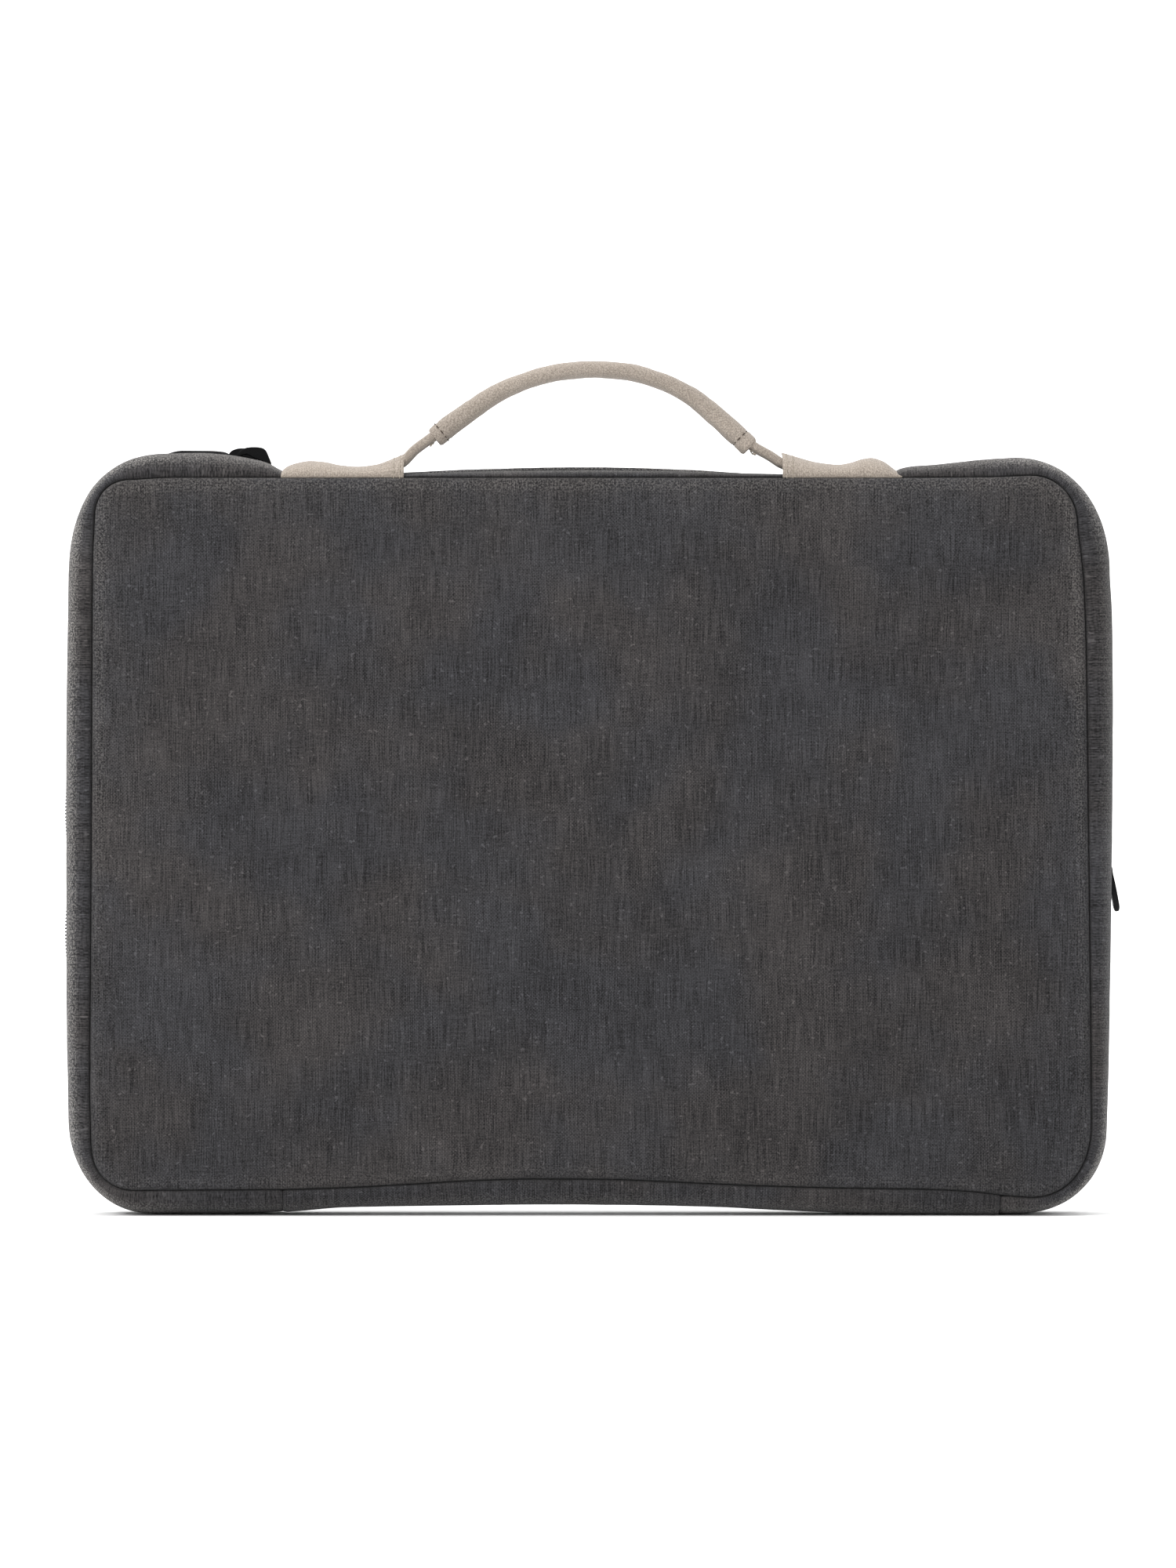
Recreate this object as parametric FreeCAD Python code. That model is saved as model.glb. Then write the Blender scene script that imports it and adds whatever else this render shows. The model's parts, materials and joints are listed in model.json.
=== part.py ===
"""Padded canvas laptop sleeve with a top carry handle and a two-slider zip.

Frame, in millimetres: X across the sleeve, Y through its thickness (the front panel faces -Y),
Z up. The sleeve stands on its bottom gusset, and the origin is the middle of that flat face.
The back half is a lid that folds down about the rear fold of the bottom gusset.
"""
import FreeCAD, Part
import math
import os

# ---- Driving dimensions -------------------------------------------------------------------
WIDTH = 370.0          # over the gusset's widest line
HEIGHT = 266.5         # standing height without the handle
BULGE = 7.5            # how far the gusset stands outside the panels' seam line
SEAM_Y = 14.5          # the panel seams lie at -SEAM_Y and +SEAM_Y
PANEL_CORNER_R = 16.0
PANEL_CROWN = 2.0      # the panels' faces stand this far outside the seams
CANVAS = 0.8           # outer cloth
PANEL_CANVAS = 0.9
LINING = 0.5
PANEL_DEPTH = 3.5      # from the panels' seams in to the lining
FRONT_FOAM = 1.5       # foam under the zip tapes
BACK_FOAM = 1.4
BOTTOM_CANVAS = 1.0
BOTTOM_FOAM = 2.5
FRONT_HEM = 3.8        # cloth turned under beside the zip
BACK_HEM = 1.4
BINDING = 1.0          # bound seam allowance round each panel

FRONT_STRIP_EDGE_Y = -0.2   # the wide front strip's folded edge beside the zip
BACK_STRIP_EDGE_Y = 9.2     # the narrow back strip's folded edge
FRONT_CROWN_Y = 1.0         # where each strip's arc is widest
BACK_CROWN_Y = 8.0
BACK_BULGE = 7.2
BOTTOM_FLAT_Y = 9.0         # half-width of the flat that the sleeve stands on
LEFT_CROSS_SEAM_X = -108.0  # the bottom gusset runs between the two cross seams
RIGHT_CROSS_SEAM_X = 145.0

ZIP_Y = 4.5            # middle of the zip
ZIP_HALF_GAP = 0.6     # each coil stands this far from the zip's middle
TAPE_LOW = 4.3         # tape and coil heights outside the seam line
TAPE_THICK = 0.6
COIL_WIDE = 1.3
FRONT_TAPE_Y = -5.0
BACK_TAPE_Y = 11.2
STRIP_FOAM_STEP = 0.2  # the strips' foam steps down this far before the tape

SLIDER_A_X = -125.0    # where the sliders stand on the zip
SLIDER_B_Z = 120.0
SLIDER_LONG = 10.5
SLIDER_HALF_WIDE = 3.9
SLIDER_CLEAR = 0.3
PULL_LONG = 13.5
PULL_HALF_WIDE = 2.7
PULL_THICK = 1.5
PULL_ARM_LONG = 6.0    # from the pin to the tab
PULL_B_TILT = 8.0      # degrees outwards from hanging straight down

ANCHOR_LEFT_X = (-108.5, -65.3)
ANCHOR_RIGHT_X = (68.0, 110.0)
STRAP_THICK = 1.1
STRAP_HALF_WIDE = 6.0
HANDLE_Y = -7.0
GRIP_MIDDLE_X = 1.0
GRIP_HALF_SPAN = 56.5
GRIP_END_Z = 273.5
GRIP_APEX_Z = 298.4
GRIP_THICK = 7.0
GRIP_WIDE = 13.0
GRIP_WALL = 0.8

# ---- Worked out from them -----------------------------------------------------------------
HALF_W = WIDTH / 2 - BULGE
LOW_Z = BULGE
TOP_Z = HEIGHT - BULGE
FACE_Y = SEAM_Y + PANEL_CROWN
COIL_LOW = TAPE_LOW + TAPE_THICK
COIL_HIGH = COIL_LOW + COIL_WIDE
LID_GAP = 0.4          # the lid's pieces keep this far from the front half's
GRIP_RISE = GRIP_APEX_Z - GRIP_END_Z
GRIP_R = (GRIP_HALF_SPAN ** 2 + GRIP_RISE ** 2) / (2 * GRIP_RISE)
GRIP_CENTRE = FreeCAD.Vector(GRIP_MIDDLE_X, HANDLE_Y, GRIP_APEX_Z - GRIP_R)
GRIP_SWEEP = math.degrees(2 * math.asin(GRIP_HALF_SPAN / GRIP_R))

V = FreeCAD.Vector
Y_AXIS = V(0, 1, 0)


# ---- Helpers ------------------------------------------------------------------------------
def save(name, shape):
    """Write one sub-part."""
    os.makedirs("parts", exist_ok=True)
    shape.exportStep("parts/" + name + ".step")


def box(low, high):
    """A box between two corners."""
    return Part.makeBox(high[0] - low[0], high[1] - low[1], high[2] - low[2], V(*low))


def fused(shapes):
    """One solid from pieces that touch."""
    whole = shapes[0].multiFuse(shapes[1:]).removeSplitter()
    return whole.Solids[0] if len(whole.Solids) == 1 else whole


def rounded_slab(inset, y0, y1):
    """The panel outline, drawn in by inset, between two Y planes."""
    half = HALF_W - inset
    low = LOW_Z + inset
    high = TOP_Z - inset
    slab = box((-half, min(y0, y1), low), (half, max(y0, y1), high))
    upright = [e for e in slab.Edges if abs(abs(e.tangentAt(e.FirstParameter).y) - 1) < 1e-6]
    return slab.makeFillet(PANEL_CORNER_R - inset, upright)


# ---- Sections of the gusset ---------------------------------------------------------------
# A section is drawn in (r, y): r is the distance outside the panels' seam line.
class Crown:
    """The arc of a strip: through the seam at (0, seam_y), widest at (bulge, crown_y)."""

    def __init__(self, bulge, crown_y, seam_y):
        rise = abs(seam_y - crown_y)
        self.radius = (bulge ** 2 + rise ** 2) / (2 * bulge)
        self.centre_r = bulge - self.radius
        self.crown_y = crown_y
        self.side = 1 if seam_y > crown_y else -1

    def at_y(self, depth, y):
        """The point at y on the arc that lies depth inside the outer one."""
        radius = self.radius - depth
        return (self.centre_r + math.sqrt(radius ** 2 - (y - self.crown_y) ** 2), y)

    def at_seam(self, depth, r=0.0):
        """The point where that arc meets the height r, on the seam's side."""
        radius = self.radius - depth
        return (r, self.crown_y + self.side * math.sqrt(radius ** 2 - (self.centre_r - r) ** 2))

    def between(self, depth, start, end):
        """A point on that arc halfway between two others on it."""
        y = (start[1] + end[1]) / 2
        return self.at_y(depth, y)


FRONT = Crown(BULGE, FRONT_CROWN_Y, -SEAM_Y)
BACK = Crown(BACK_BULGE, BACK_CROWN_Y, SEAM_Y)
BOTTOM_FRONT = Crown(BULGE, -BOTTOM_FLAT_Y, -SEAM_Y)
BOTTOM_REAR = Crown(BULGE, BOTTOM_FLAT_Y, SEAM_Y)


def shell_section(crown, edge_y, hem):
    """The outer cloth: an arc from the seam to the zip, with its edge turned under as a hem."""
    seam_out = crown.at_seam(0)
    edge_out = crown.at_y(0, edge_y)
    hem_y = edge_y + crown.side * hem
    hem_in = crown.at_y(CANVAS, hem_y)
    seam_in = crown.at_seam(CANVAS)
    return [
        ("arc", seam_out, crown.between(0, seam_out, edge_out), edge_out),
        ("line", edge_out, (COIL_LOW, edge_y)),
        ("line", (COIL_LOW, edge_y), (COIL_LOW, hem_y)),
        ("line", (COIL_LOW, hem_y), hem_in),
        ("arc", hem_in, crown.between(CANVAS, hem_in, seam_in), seam_in),
        ("line", seam_in, seam_out),
    ]


def foam_section(crown, edge_y, step_y, low_depth, inner_depth):
    """The strip's foam: full height up to step_y, then lowered under the zip tape."""
    seam_out = crown.at_seam(CANVAS)
    step_out = crown.at_y(CANVAS, step_y)
    step_low = crown.at_y(low_depth, step_y)
    edge_low = crown.at_y(low_depth, edge_y)
    edge_in = crown.at_y(inner_depth, edge_y)
    seam_in = crown.at_seam(inner_depth)
    return [
        ("arc", seam_out, crown.between(CANVAS, seam_out, step_out), step_out),
        ("line", step_out, step_low),
        ("arc", step_low, crown.between(low_depth, step_low, edge_low), edge_low),
        ("line", edge_low, edge_in),
        ("arc", edge_in, crown.between(inner_depth, edge_in, seam_in), seam_in),
        ("line", seam_in, seam_out),
    ]


def layer_section(crown, edge_y, outer_depth, inner_depth, low_r=0.0):
    """A plain layer between two depths, from the seam to edge_y."""
    seam_out = crown.at_seam(outer_depth, low_r)
    edge_out = crown.at_y(outer_depth, edge_y)
    edge_in = crown.at_y(inner_depth, edge_y)
    seam_in = crown.at_seam(inner_depth, low_r)
    return [
        ("arc", seam_out, crown.between(outer_depth, seam_out, edge_out), edge_out),
        ("line", edge_out, edge_in),
        ("arc", edge_in, crown.between(inner_depth, edge_in, seam_in), seam_in),
        ("line", seam_in, seam_out),
    ]


def flat_section(r0, r1, y0, y1):
    """A rectangle, for tape and coil."""
    corners = [(r0, y0), (r1, y0), (r1, y1), (r0, y1)]
    return [("line", corners[i], corners[(i + 1) % 4]) for i in range(4)]


def section_face(section, base, outward):
    """Stand a section on the seam line at base, with r along outward."""
    def place(point):
        return base + outward * point[0] + Y_AXIS * point[1]

    edges = []
    for piece in section:
        points = [place(p) for p in piece[1:]]
        if piece[0] == "arc":
            edges.append(Part.Arc(*points).toShape())
        else:
            edges.append(Part.LineSegment(*points).toShape())
    return Part.Face(Part.Wire(edges))


def run(section, start, end, outward):
    """A straight stretch of strip along the seam line."""
    return section_face(section, start, outward).extrude(end - start)


def corner(section, centre, outward):
    """A quarter turn clockwise, seen from the front, beginning where outward points."""
    face = section_face(section, centre + outward * PANEL_CORNER_R, outward)
    return face.revolve(centre, Y_AXIS, 90)


def u_strip(section, left_end, right_end):
    """A strip from the left cross seam, up the left side, over the top and down to the right one."""
    cx = HALF_W - PANEL_CORNER_R
    cz0 = LOW_Z + PANEL_CORNER_R
    cz1 = TOP_Z - PANEL_CORNER_R
    left, right, up, down = V(-1, 0, 0), V(1, 0, 0), V(0, 0, 1), V(0, 0, -1)
    return fused([
        run(section, V(left_end, 0, LOW_Z), V(-cx, 0, LOW_Z), down),
        corner(section, V(-cx, 0, cz0), down),
        run(section, V(-HALF_W, 0, cz0), V(-HALF_W, 0, cz1), left),
        corner(section, V(-cx, 0, cz1), left),
        run(section, V(-cx, 0, TOP_Z), V(cx, 0, TOP_Z), up),
        corner(section, V(cx, 0, cz1), up),
        run(section, V(HALF_W, 0, cz1), V(HALF_W, 0, cz0), right),
        corner(section, V(cx, 0, cz0), right),
        run(section, V(cx, 0, LOW_Z), V(right_end, 0, LOW_Z), down),
    ])


# ---- Panels: front half and lid are alike, mirrored in Y ----------------------------------
def make_panel(side, name):
    """Outer cloth, foam, lining and bound seam of the panel that faces side * Y."""
    face_y = side * FACE_Y
    seam_y = side * SEAM_Y
    foam_y = side * (FACE_Y - PANEL_CANVAS)
    lining_y = side * (SEAM_Y - PANEL_DEPTH)
    inside_y = lining_y - side * LINING
    cloth = rounded_slab(0.0, seam_y, face_y)
    rim = [e for e in cloth.Edges if abs(e.BoundBox.YMin - face_y) + abs(e.BoundBox.YMax - face_y) < 0.01]
    cloth = cloth.makeFillet(PANEL_CROWN * 0.8, rim)
    cloth = cloth.cut(rounded_slab(BINDING, seam_y, foam_y))
    save(name + "_panel", cloth)
    save(name + "_padding", rounded_slab(BINDING, foam_y, lining_y))
    save(name + "_lining", rounded_slab(BINDING, lining_y, inside_y))
    binding = rounded_slab(0.0, seam_y, inside_y).cut(rounded_slab(BINDING, seam_y, inside_y))
    save(name + "_seam_binding", binding)


def make_front_strip():
    """The wide strip of gusset that carries the handle, with its half of the zip."""
    ends = (LEFT_CROSS_SEAM_X, RIGHT_CROSS_SEAM_X)
    low_depth = FRONT.radius + FRONT.centre_r - TAPE_LOW + STRIP_FOAM_STEP
    inner_depth = low_depth + FRONT_FOAM
    step_y = FRONT_TAPE_Y - 2 * STRIP_FOAM_STEP
    foam = foam_section(FRONT, FRONT_STRIP_EDGE_Y, step_y, low_depth, inner_depth)
    save("front_gusset_cloth", u_strip(shell_section(FRONT, FRONT_STRIP_EDGE_Y, FRONT_HEM), *ends))
    save("front_gusset_padding", u_strip(foam, *ends))
    lining = layer_section(FRONT, FRONT_STRIP_EDGE_Y, inner_depth, inner_depth + LINING)
    save("front_gusset_lining", u_strip(lining, *ends))
    coil_y = ZIP_Y - ZIP_HALF_GAP
    tape = flat_section(TAPE_LOW, COIL_LOW, FRONT_TAPE_Y, coil_y)
    save("front_zip_tape", u_strip(tape, *ends))
    stop_long = 2.2
    stops = [(LEFT_CROSS_SEAM_X, -1), (RIGHT_CROSS_SEAM_X, 1)]
    coil = flat_section(COIL_LOW, COIL_HIGH, coil_y - COIL_WIDE, coil_y)
    coil_ends = [x + way * (stop_long + 0.4) for x, way in stops]
    save("front_zip_coil", u_strip(coil, *coil_ends))
    low = LOW_Z - COIL_HIGH + 0.1
    blocks = []
    for x, way in stops:
        near, far = sorted((x + way * 0.2, x + way * (0.2 + stop_long)))
        blocks.append(box((near, coil_y - COIL_WIDE, low), (far, coil_y, LOW_Z - COIL_LOW)))
    save("zip_end_stops", Part.Compound(blocks))


def make_back_strip():
    """The narrow strip of gusset on the lid, with the other half of the zip."""
    ends = (LEFT_CROSS_SEAM_X - LID_GAP, RIGHT_CROSS_SEAM_X + LID_GAP)
    low_depth = BACK.radius + BACK.centre_r - TAPE_LOW + STRIP_FOAM_STEP
    inner_depth = low_depth + BACK_FOAM
    step_y = BACK_TAPE_Y + STRIP_FOAM_STEP
    foam = foam_section(BACK, BACK_STRIP_EDGE_Y, step_y, low_depth, inner_depth)
    save("back_gusset_cloth", u_strip(shell_section(BACK, BACK_STRIP_EDGE_Y, BACK_HEM), *ends))
    save("back_gusset_padding", u_strip(foam, *ends))
    lining = layer_section(BACK, BACK_STRIP_EDGE_Y, inner_depth, inner_depth + LINING)
    save("back_gusset_lining", u_strip(lining, *ends))
    coil_y = ZIP_Y + ZIP_HALF_GAP
    tape = flat_section(TAPE_LOW, COIL_LOW, coil_y, BACK_TAPE_Y)
    save("back_zip_tape", u_strip(tape, *ends))
    coil = flat_section(COIL_LOW, COIL_HIGH, coil_y, coil_y + COIL_WIDE)
    save("back_zip_coil", u_strip(coil, *ends))


def make_bottom_gusset():
    """The full-depth bottom strip, flat underneath, that the lid folds about."""
    front, rear = BOTTOM_FRONT, BOTTOM_REAR
    thick = BOTTOM_CANVAS
    outer = [front.at_seam(0), front.at_y(0, -BOTTOM_FLAT_Y), rear.at_y(0, BOTTOM_FLAT_Y),
             rear.at_seam(0, LID_GAP)]
    inner = [rear.at_seam(thick, LID_GAP), rear.at_y(thick, BOTTOM_FLAT_Y),
             front.at_y(thick, -BOTTOM_FLAT_Y), front.at_seam(thick)]
    section = [
        ("arc", outer[0], front.between(0, outer[0], outer[1]), outer[1]),
        ("line", outer[1], outer[2]),
        ("arc", outer[2], rear.between(0, outer[2], outer[3]), outer[3]),
        ("line", outer[3], inner[0]),
        ("arc", inner[0], rear.between(thick, inner[0], inner[1]), inner[1]),
        ("line", inner[1], inner[2]),
        ("arc", inner[2], front.between(thick, inner[2], inner[3]), inner[3]),
        ("line", inner[3], outer[0]),
    ]
    left, right = LEFT_CROSS_SEAM_X, RIGHT_CROSS_SEAM_X
    down = V(0, 0, -1)
    save("bottom_gusset_cloth", run(section, V(left, 0, LOW_Z), V(right, 0, LOW_Z), down))
    foam_high = thick + BOTTOM_FOAM
    wide = BOTTOM_FLAT_Y
    save("bottom_gusset_padding", box((left, -wide, thick), (right, wide, foam_high)))
    save("bottom_gusset_lining", box((left, -wide, foam_high), (right, wide, foam_high + LINING)))


# ---- Zip sliders --------------------------------------------------------------------------
# Drawn on the top run: +X is the way the pull points, Z is measured from the seam line.
PLATE_LOW = COIL_HIGH + SLIDER_CLEAR
PLATE_HIGH = PLATE_LOW + 0.8
PIVOT_HIGH = PLATE_HIGH + SLIDER_CLEAR + PULL_THICK / 2
CROWN_THICK = 0.7
CROWN_LOW = PIVOT_HIGH + PULL_THICK / 2 + SLIDER_CLEAR


def slider_body():
    """Two plates joined by a post between the coils, with a crown that holds the pull."""
    half = SLIDER_LONG / 2
    wide = SLIDER_HALF_WIDE
    under_tape = TAPE_LOW - SLIDER_CLEAR
    top_plate = box((-half, -wide, PLATE_LOW), (half, wide, PLATE_HIGH))
    low_plate = box((-half, -wide, under_tape - 1.2), (half, wide, under_tape))
    plates = []
    for plate in (top_plate, low_plate):
        upright = [e for e in plate.Edges if abs(abs(e.tangentAt(e.FirstParameter).z) - 1) < 1e-6]
        plates.append(plate.makeFillet(2.0, upright))
    post = box((1.0, -0.3, under_tape), (4.6, 0.3, PLATE_LOW))
    flange = box((-half + 2, -wide, COIL_LOW + SLIDER_CLEAR), (half - 2, -wide + 0.7, PLATE_LOW))
    crown = box((-3.6, -1.0, PLATE_HIGH), (3.6, 1.0, CROWN_LOW + CROWN_THICK))
    window = box((-2.7, -1.0, PLATE_HIGH), (2.7, 1.0, CROWN_LOW))
    return fused(plates + [post, flange, crown.cut(window)])


def slider_pull():
    """A flat pull: a pin under the crown, two arms, and a tab with a slot."""
    z0 = PIVOT_HIGH - PULL_THICK / 2
    z1 = PIVOT_HIGH + PULL_THICK / 2
    wide = PULL_HALF_WIDE
    arm_in = 1.5
    pin = Part.makeCylinder(PULL_THICK / 2, 2 * wide, V(0, -wide, PIVOT_HIGH), Y_AXIS)
    arm_end = PULL_ARM_LONG + 0.5
    arms = [box((0, -wide, z0), (arm_end, -arm_in, z1)), box((0, arm_in, z0), (arm_end, wide, z1))]
    tab = box((PULL_ARM_LONG, -wide, z0), (PULL_LONG, wide, z1))
    upright = [e for e in tab.Edges
               if abs(abs(e.tangentAt(e.FirstParameter).z) - 1) < 1e-6 and e.BoundBox.XMax > arm_end]
    tab = tab.makeFillet(wide - 0.2, upright)
    slot = box((PULL_ARM_LONG + 2.0, -1.1, z0), (PULL_LONG - 2.2, 1.1, z1))
    return fused([pin] + arms + [tab.cut(slot)])


def on_top_run(shape):
    """Slider A's place: on the top run, with its pull lying towards the handle."""
    shape.translate(V(SLIDER_A_X, ZIP_Y, TOP_Z))
    return shape


def on_right_run(shape):
    """Slider B's place: on the right run, with its pull hanging."""
    shape.rotate(V(0, 0, 0), Y_AXIS, 90)
    shape.translate(V(HALF_W, ZIP_Y, SLIDER_B_Z))
    return shape


def make_sliders():
    """The two sliders and their pulls."""
    save("slider_a_body", on_top_run(slider_body()))
    save("slider_a_pull", on_top_run(slider_pull()))
    save("slider_b_body", on_right_run(slider_body()))
    hanging = slider_pull()
    hanging.rotate(V(0, 0, PIVOT_HIGH), Y_AXIS, -PULL_B_TILT)
    save("slider_b_pull", on_right_run(hanging))


# ---- Handle -------------------------------------------------------------------------------
PATCH_THICK = 0.9
PATCH_GAP = 0.05
STRAP_LOW = -PATCH_GAP
STRAP_HIGH = STRAP_LOW - STRAP_THICK
PATCH_HIGH = STRAP_HIGH - PATCH_GAP - PATCH_THICK
STITCH_HIGH = PATCH_HIGH - 0.25
TAIL_CLEAR_X = 3.4     # between the grip's end and the strap's tail


def on_gusset(section, x0, x1):
    """A piece that lies on the top gusset between two X planes."""
    return run(section, V(x0, 0, TOP_Z), V(x1, 0, TOP_Z), V(0, 0, 1))


def strap_layer(outer, inner, y0, y1):
    """A section on the top gusset between two depths and two Y planes."""
    corners = [FRONT.at_y(outer, y0), FRONT.at_y(outer, y1),
               FRONT.at_y(inner, y1), FRONT.at_y(inner, y0)]
    return [
        ("arc", corners[0], FRONT.between(outer, corners[0], corners[1]), corners[1]),
        ("line", corners[1], corners[2]),
        ("arc", corners[2], FRONT.between(inner, corners[2], corners[3]), corners[3]),
        ("line", corners[3], corners[0]),
    ]


def make_anchor(name, outer_x, inner_x):
    """One canvas patch and the end of the strap that it holds down."""
    way = 1 if inner_x > outer_x else -1
    x0, x1 = sorted((outer_x, inner_x))
    strap_y = (HANDLE_Y - STRAP_HALF_WIDE, HANDLE_Y + STRAP_HALF_WIDE)
    patch = on_gusset(layer_section(FRONT, FRONT_STRIP_EDGE_Y, PATCH_HIGH, 0.0), x0, x1)
    pocket_x = sorted((outer_x + way * 4.0, inner_x))
    hollow = strap_layer(STRAP_HIGH - PATCH_GAP, 0.0, strap_y[0] - 0.1, strap_y[1] + 0.1)
    pocket = on_gusset(hollow, *pocket_x)
    save("handle_anchor_" + name, patch.cut(pocket))

    end_x = sorted((outer_x + way * 4.4, inner_x))
    held = on_gusset(strap_layer(STRAP_HIGH, STRAP_LOW, *strap_y), *end_x)
    tip_x = GRIP_MIDDLE_X - way * (GRIP_HALF_SPAN + TAIL_CLEAR_X)
    base_z = TOP_Z + FRONT.at_y(STRAP_LOW, HANDLE_Y)[0]
    rise = abs(tip_x - inner_x)
    thick_z = STRAP_THICK * math.sqrt(2)
    corners = [V(inner_x, strap_y[0], base_z), V(tip_x, strap_y[0], base_z + rise),
               V(tip_x, strap_y[0], base_z + rise + thick_z), V(inner_x, strap_y[0], base_z + thick_z)]
    tail = Part.Face(Part.makePolygon(corners + corners[:1])).extrude(V(0, 2 * STRAP_HALF_WIDE, 0))
    below = strap_layer(STRAP_LOW, 4.0, strap_y[0] - 1.0, strap_y[1] + 1.0)
    under = on_gusset(below, *sorted((inner_x, tip_x)))
    save("strap_tail_" + name, fused([held, tail.cut(under)]))

    bars = []
    for row in range(3):
        x = inner_x - way * (2.0 + 2.2 * row)
        bars.append(on_gusset(strap_layer(STITCH_HIGH, PATCH_HIGH, *strap_y), x - 0.3, x + 0.3))
    return bars


def grip_section(thick, wide, middle=0.0, round_r=None):
    """A rounded rectangle across the grip at its left end, square to the grip's arc."""
    low = GRIP_R + middle - thick / 2
    slab = box((low, -wide / 2, -0.5), (low + thick, wide / 2, 0.5))
    upright = [e for e in slab.Edges if abs(abs(e.tangentAt(e.FirstParameter).z) - 1) < 1e-6]
    slab = slab.makeFillet(round_r if round_r else min(thick, wide) * 0.45, upright)
    wire = slab.slice(V(0, 0, 1), 0.0)[0]
    return Part.Face(wire)


def grip_arc(face, start, sweep):
    """Turn a section about the grip's centre: start and sweep in degrees from the left end."""
    first = 180 - (180 - GRIP_SWEEP) / 2 - start
    face.rotate(V(0, 0, 0), Y_AXIS, -first)
    face.translate(GRIP_CENTRE)
    return face.revolve(GRIP_CENTRE, Y_AXIS, sweep)


def make_handle():
    """Anchors with strap tails on the gusset, and the wrapped grip that folds over them."""
    bars = make_anchor("left", ANCHOR_LEFT_X[0], ANCHOR_LEFT_X[1])
    bars += make_anchor("right", ANCHOR_RIGHT_X[1], ANCHOR_RIGHT_X[0])
    save("anchor_stitching", Part.Compound(bars))

    inner = (GRIP_THICK - 2 * GRIP_WALL, GRIP_WIDE - 2 * GRIP_WALL)
    outside = grip_arc(grip_section(GRIP_THICK, GRIP_WIDE), 0, GRIP_SWEEP)
    hollow = grip_arc(grip_section(*inner), 0, GRIP_SWEEP)
    save("handle_grip_wrap", outside.cut(hollow))
    strap_middle = -inner[0] / 2 + STRAP_THICK / 2 + 0.5
    strap = grip_section(STRAP_THICK, inner[1] - 2.2, strap_middle, 0.3)
    save("handle_strap", grip_arc(strap, 0, GRIP_SWEEP))
    core_thick = inner[0] - STRAP_THICK - 1.0
    core_middle = inner[0] / 2 - core_thick / 2 - 0.3
    core = grip_section(core_thick, inner[1] - 2.4, core_middle)
    save("handle_core", grip_arc(core, 1.0, GRIP_SWEEP - 2.0))
    rings = []
    for start in (3.0, GRIP_SWEEP - 3.4):
        ring = grip_arc(grip_section(GRIP_THICK + 0.5, GRIP_WIDE + 0.5), start, 0.4)
        rings.append(ring.cut(outside))
    save("grip_stitching", Part.Compound([r.Solids[0] for r in rings]))


make_panel(-1, "front")
make_panel(1, "back")
make_front_strip()
make_back_strip()
make_bottom_gusset()
make_sliders()
make_handle()
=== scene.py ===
"""The looks of the laptop sleeve: charcoal canvas, beige handle, black zip.

Lengths inside the functions are in millimetres in the CAD frame; meshes are made in metres.
"""
import bpy
import bmesh
import json
import math
import random
import numpy as np
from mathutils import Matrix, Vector, noise


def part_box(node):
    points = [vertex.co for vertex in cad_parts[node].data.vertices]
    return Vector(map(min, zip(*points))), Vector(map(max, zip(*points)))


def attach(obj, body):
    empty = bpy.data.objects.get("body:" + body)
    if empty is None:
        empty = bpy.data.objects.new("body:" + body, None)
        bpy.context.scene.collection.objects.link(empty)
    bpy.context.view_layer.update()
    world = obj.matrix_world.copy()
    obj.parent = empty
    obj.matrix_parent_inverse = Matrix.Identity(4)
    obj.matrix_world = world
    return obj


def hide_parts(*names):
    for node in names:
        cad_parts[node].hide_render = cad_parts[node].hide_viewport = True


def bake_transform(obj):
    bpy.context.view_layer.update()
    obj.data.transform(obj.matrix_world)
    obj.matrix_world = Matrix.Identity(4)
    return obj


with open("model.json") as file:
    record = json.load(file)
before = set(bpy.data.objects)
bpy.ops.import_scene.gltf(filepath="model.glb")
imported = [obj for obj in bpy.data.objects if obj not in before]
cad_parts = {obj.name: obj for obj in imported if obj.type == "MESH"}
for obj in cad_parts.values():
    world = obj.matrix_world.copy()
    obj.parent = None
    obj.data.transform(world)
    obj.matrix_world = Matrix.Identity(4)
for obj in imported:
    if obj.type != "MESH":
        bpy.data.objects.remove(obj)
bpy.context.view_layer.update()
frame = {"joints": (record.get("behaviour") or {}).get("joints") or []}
MM = 0.001


# ---- Sizes read from the frame -------------------------------------------------------------
def box_mm(node):
    """Lowest and highest corner of a CAD node, in millimetres."""
    low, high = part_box(node)
    return np.array(low) / MM, np.array(high) / MM


BOTTOM_LOW, BOTTOM_HIGH = box_mm("bottom_gusset_cloth")
ANCHORS = {"left": box_mm("handle_anchor_left"), "right": box_mm("handle_anchor_right")}
JOINTS = {j["name"]: j for j in frame["joints"]}
PIVOT_A = np.array(JOINTS["pull_a_swing"]["pos_m"]) / MM
PIVOT_B = np.array(JOINTS["pull_b_swing"]["pos_m"]) / MM
HANDLE_AXIS = np.array(JOINTS["handle_fold"]["pos_m"]) / MM
LEFT_SEAM_X = BOTTOM_LOW[0]
RIGHT_SEAM_X = BOTTOM_HIGH[0]
SEAM_FRONT = -15.3      # where the strips leave the grooves beside the seams
SEAM_BACK = 15.3
ZIP_MIDDLE = PIVOT_A[1]


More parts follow.
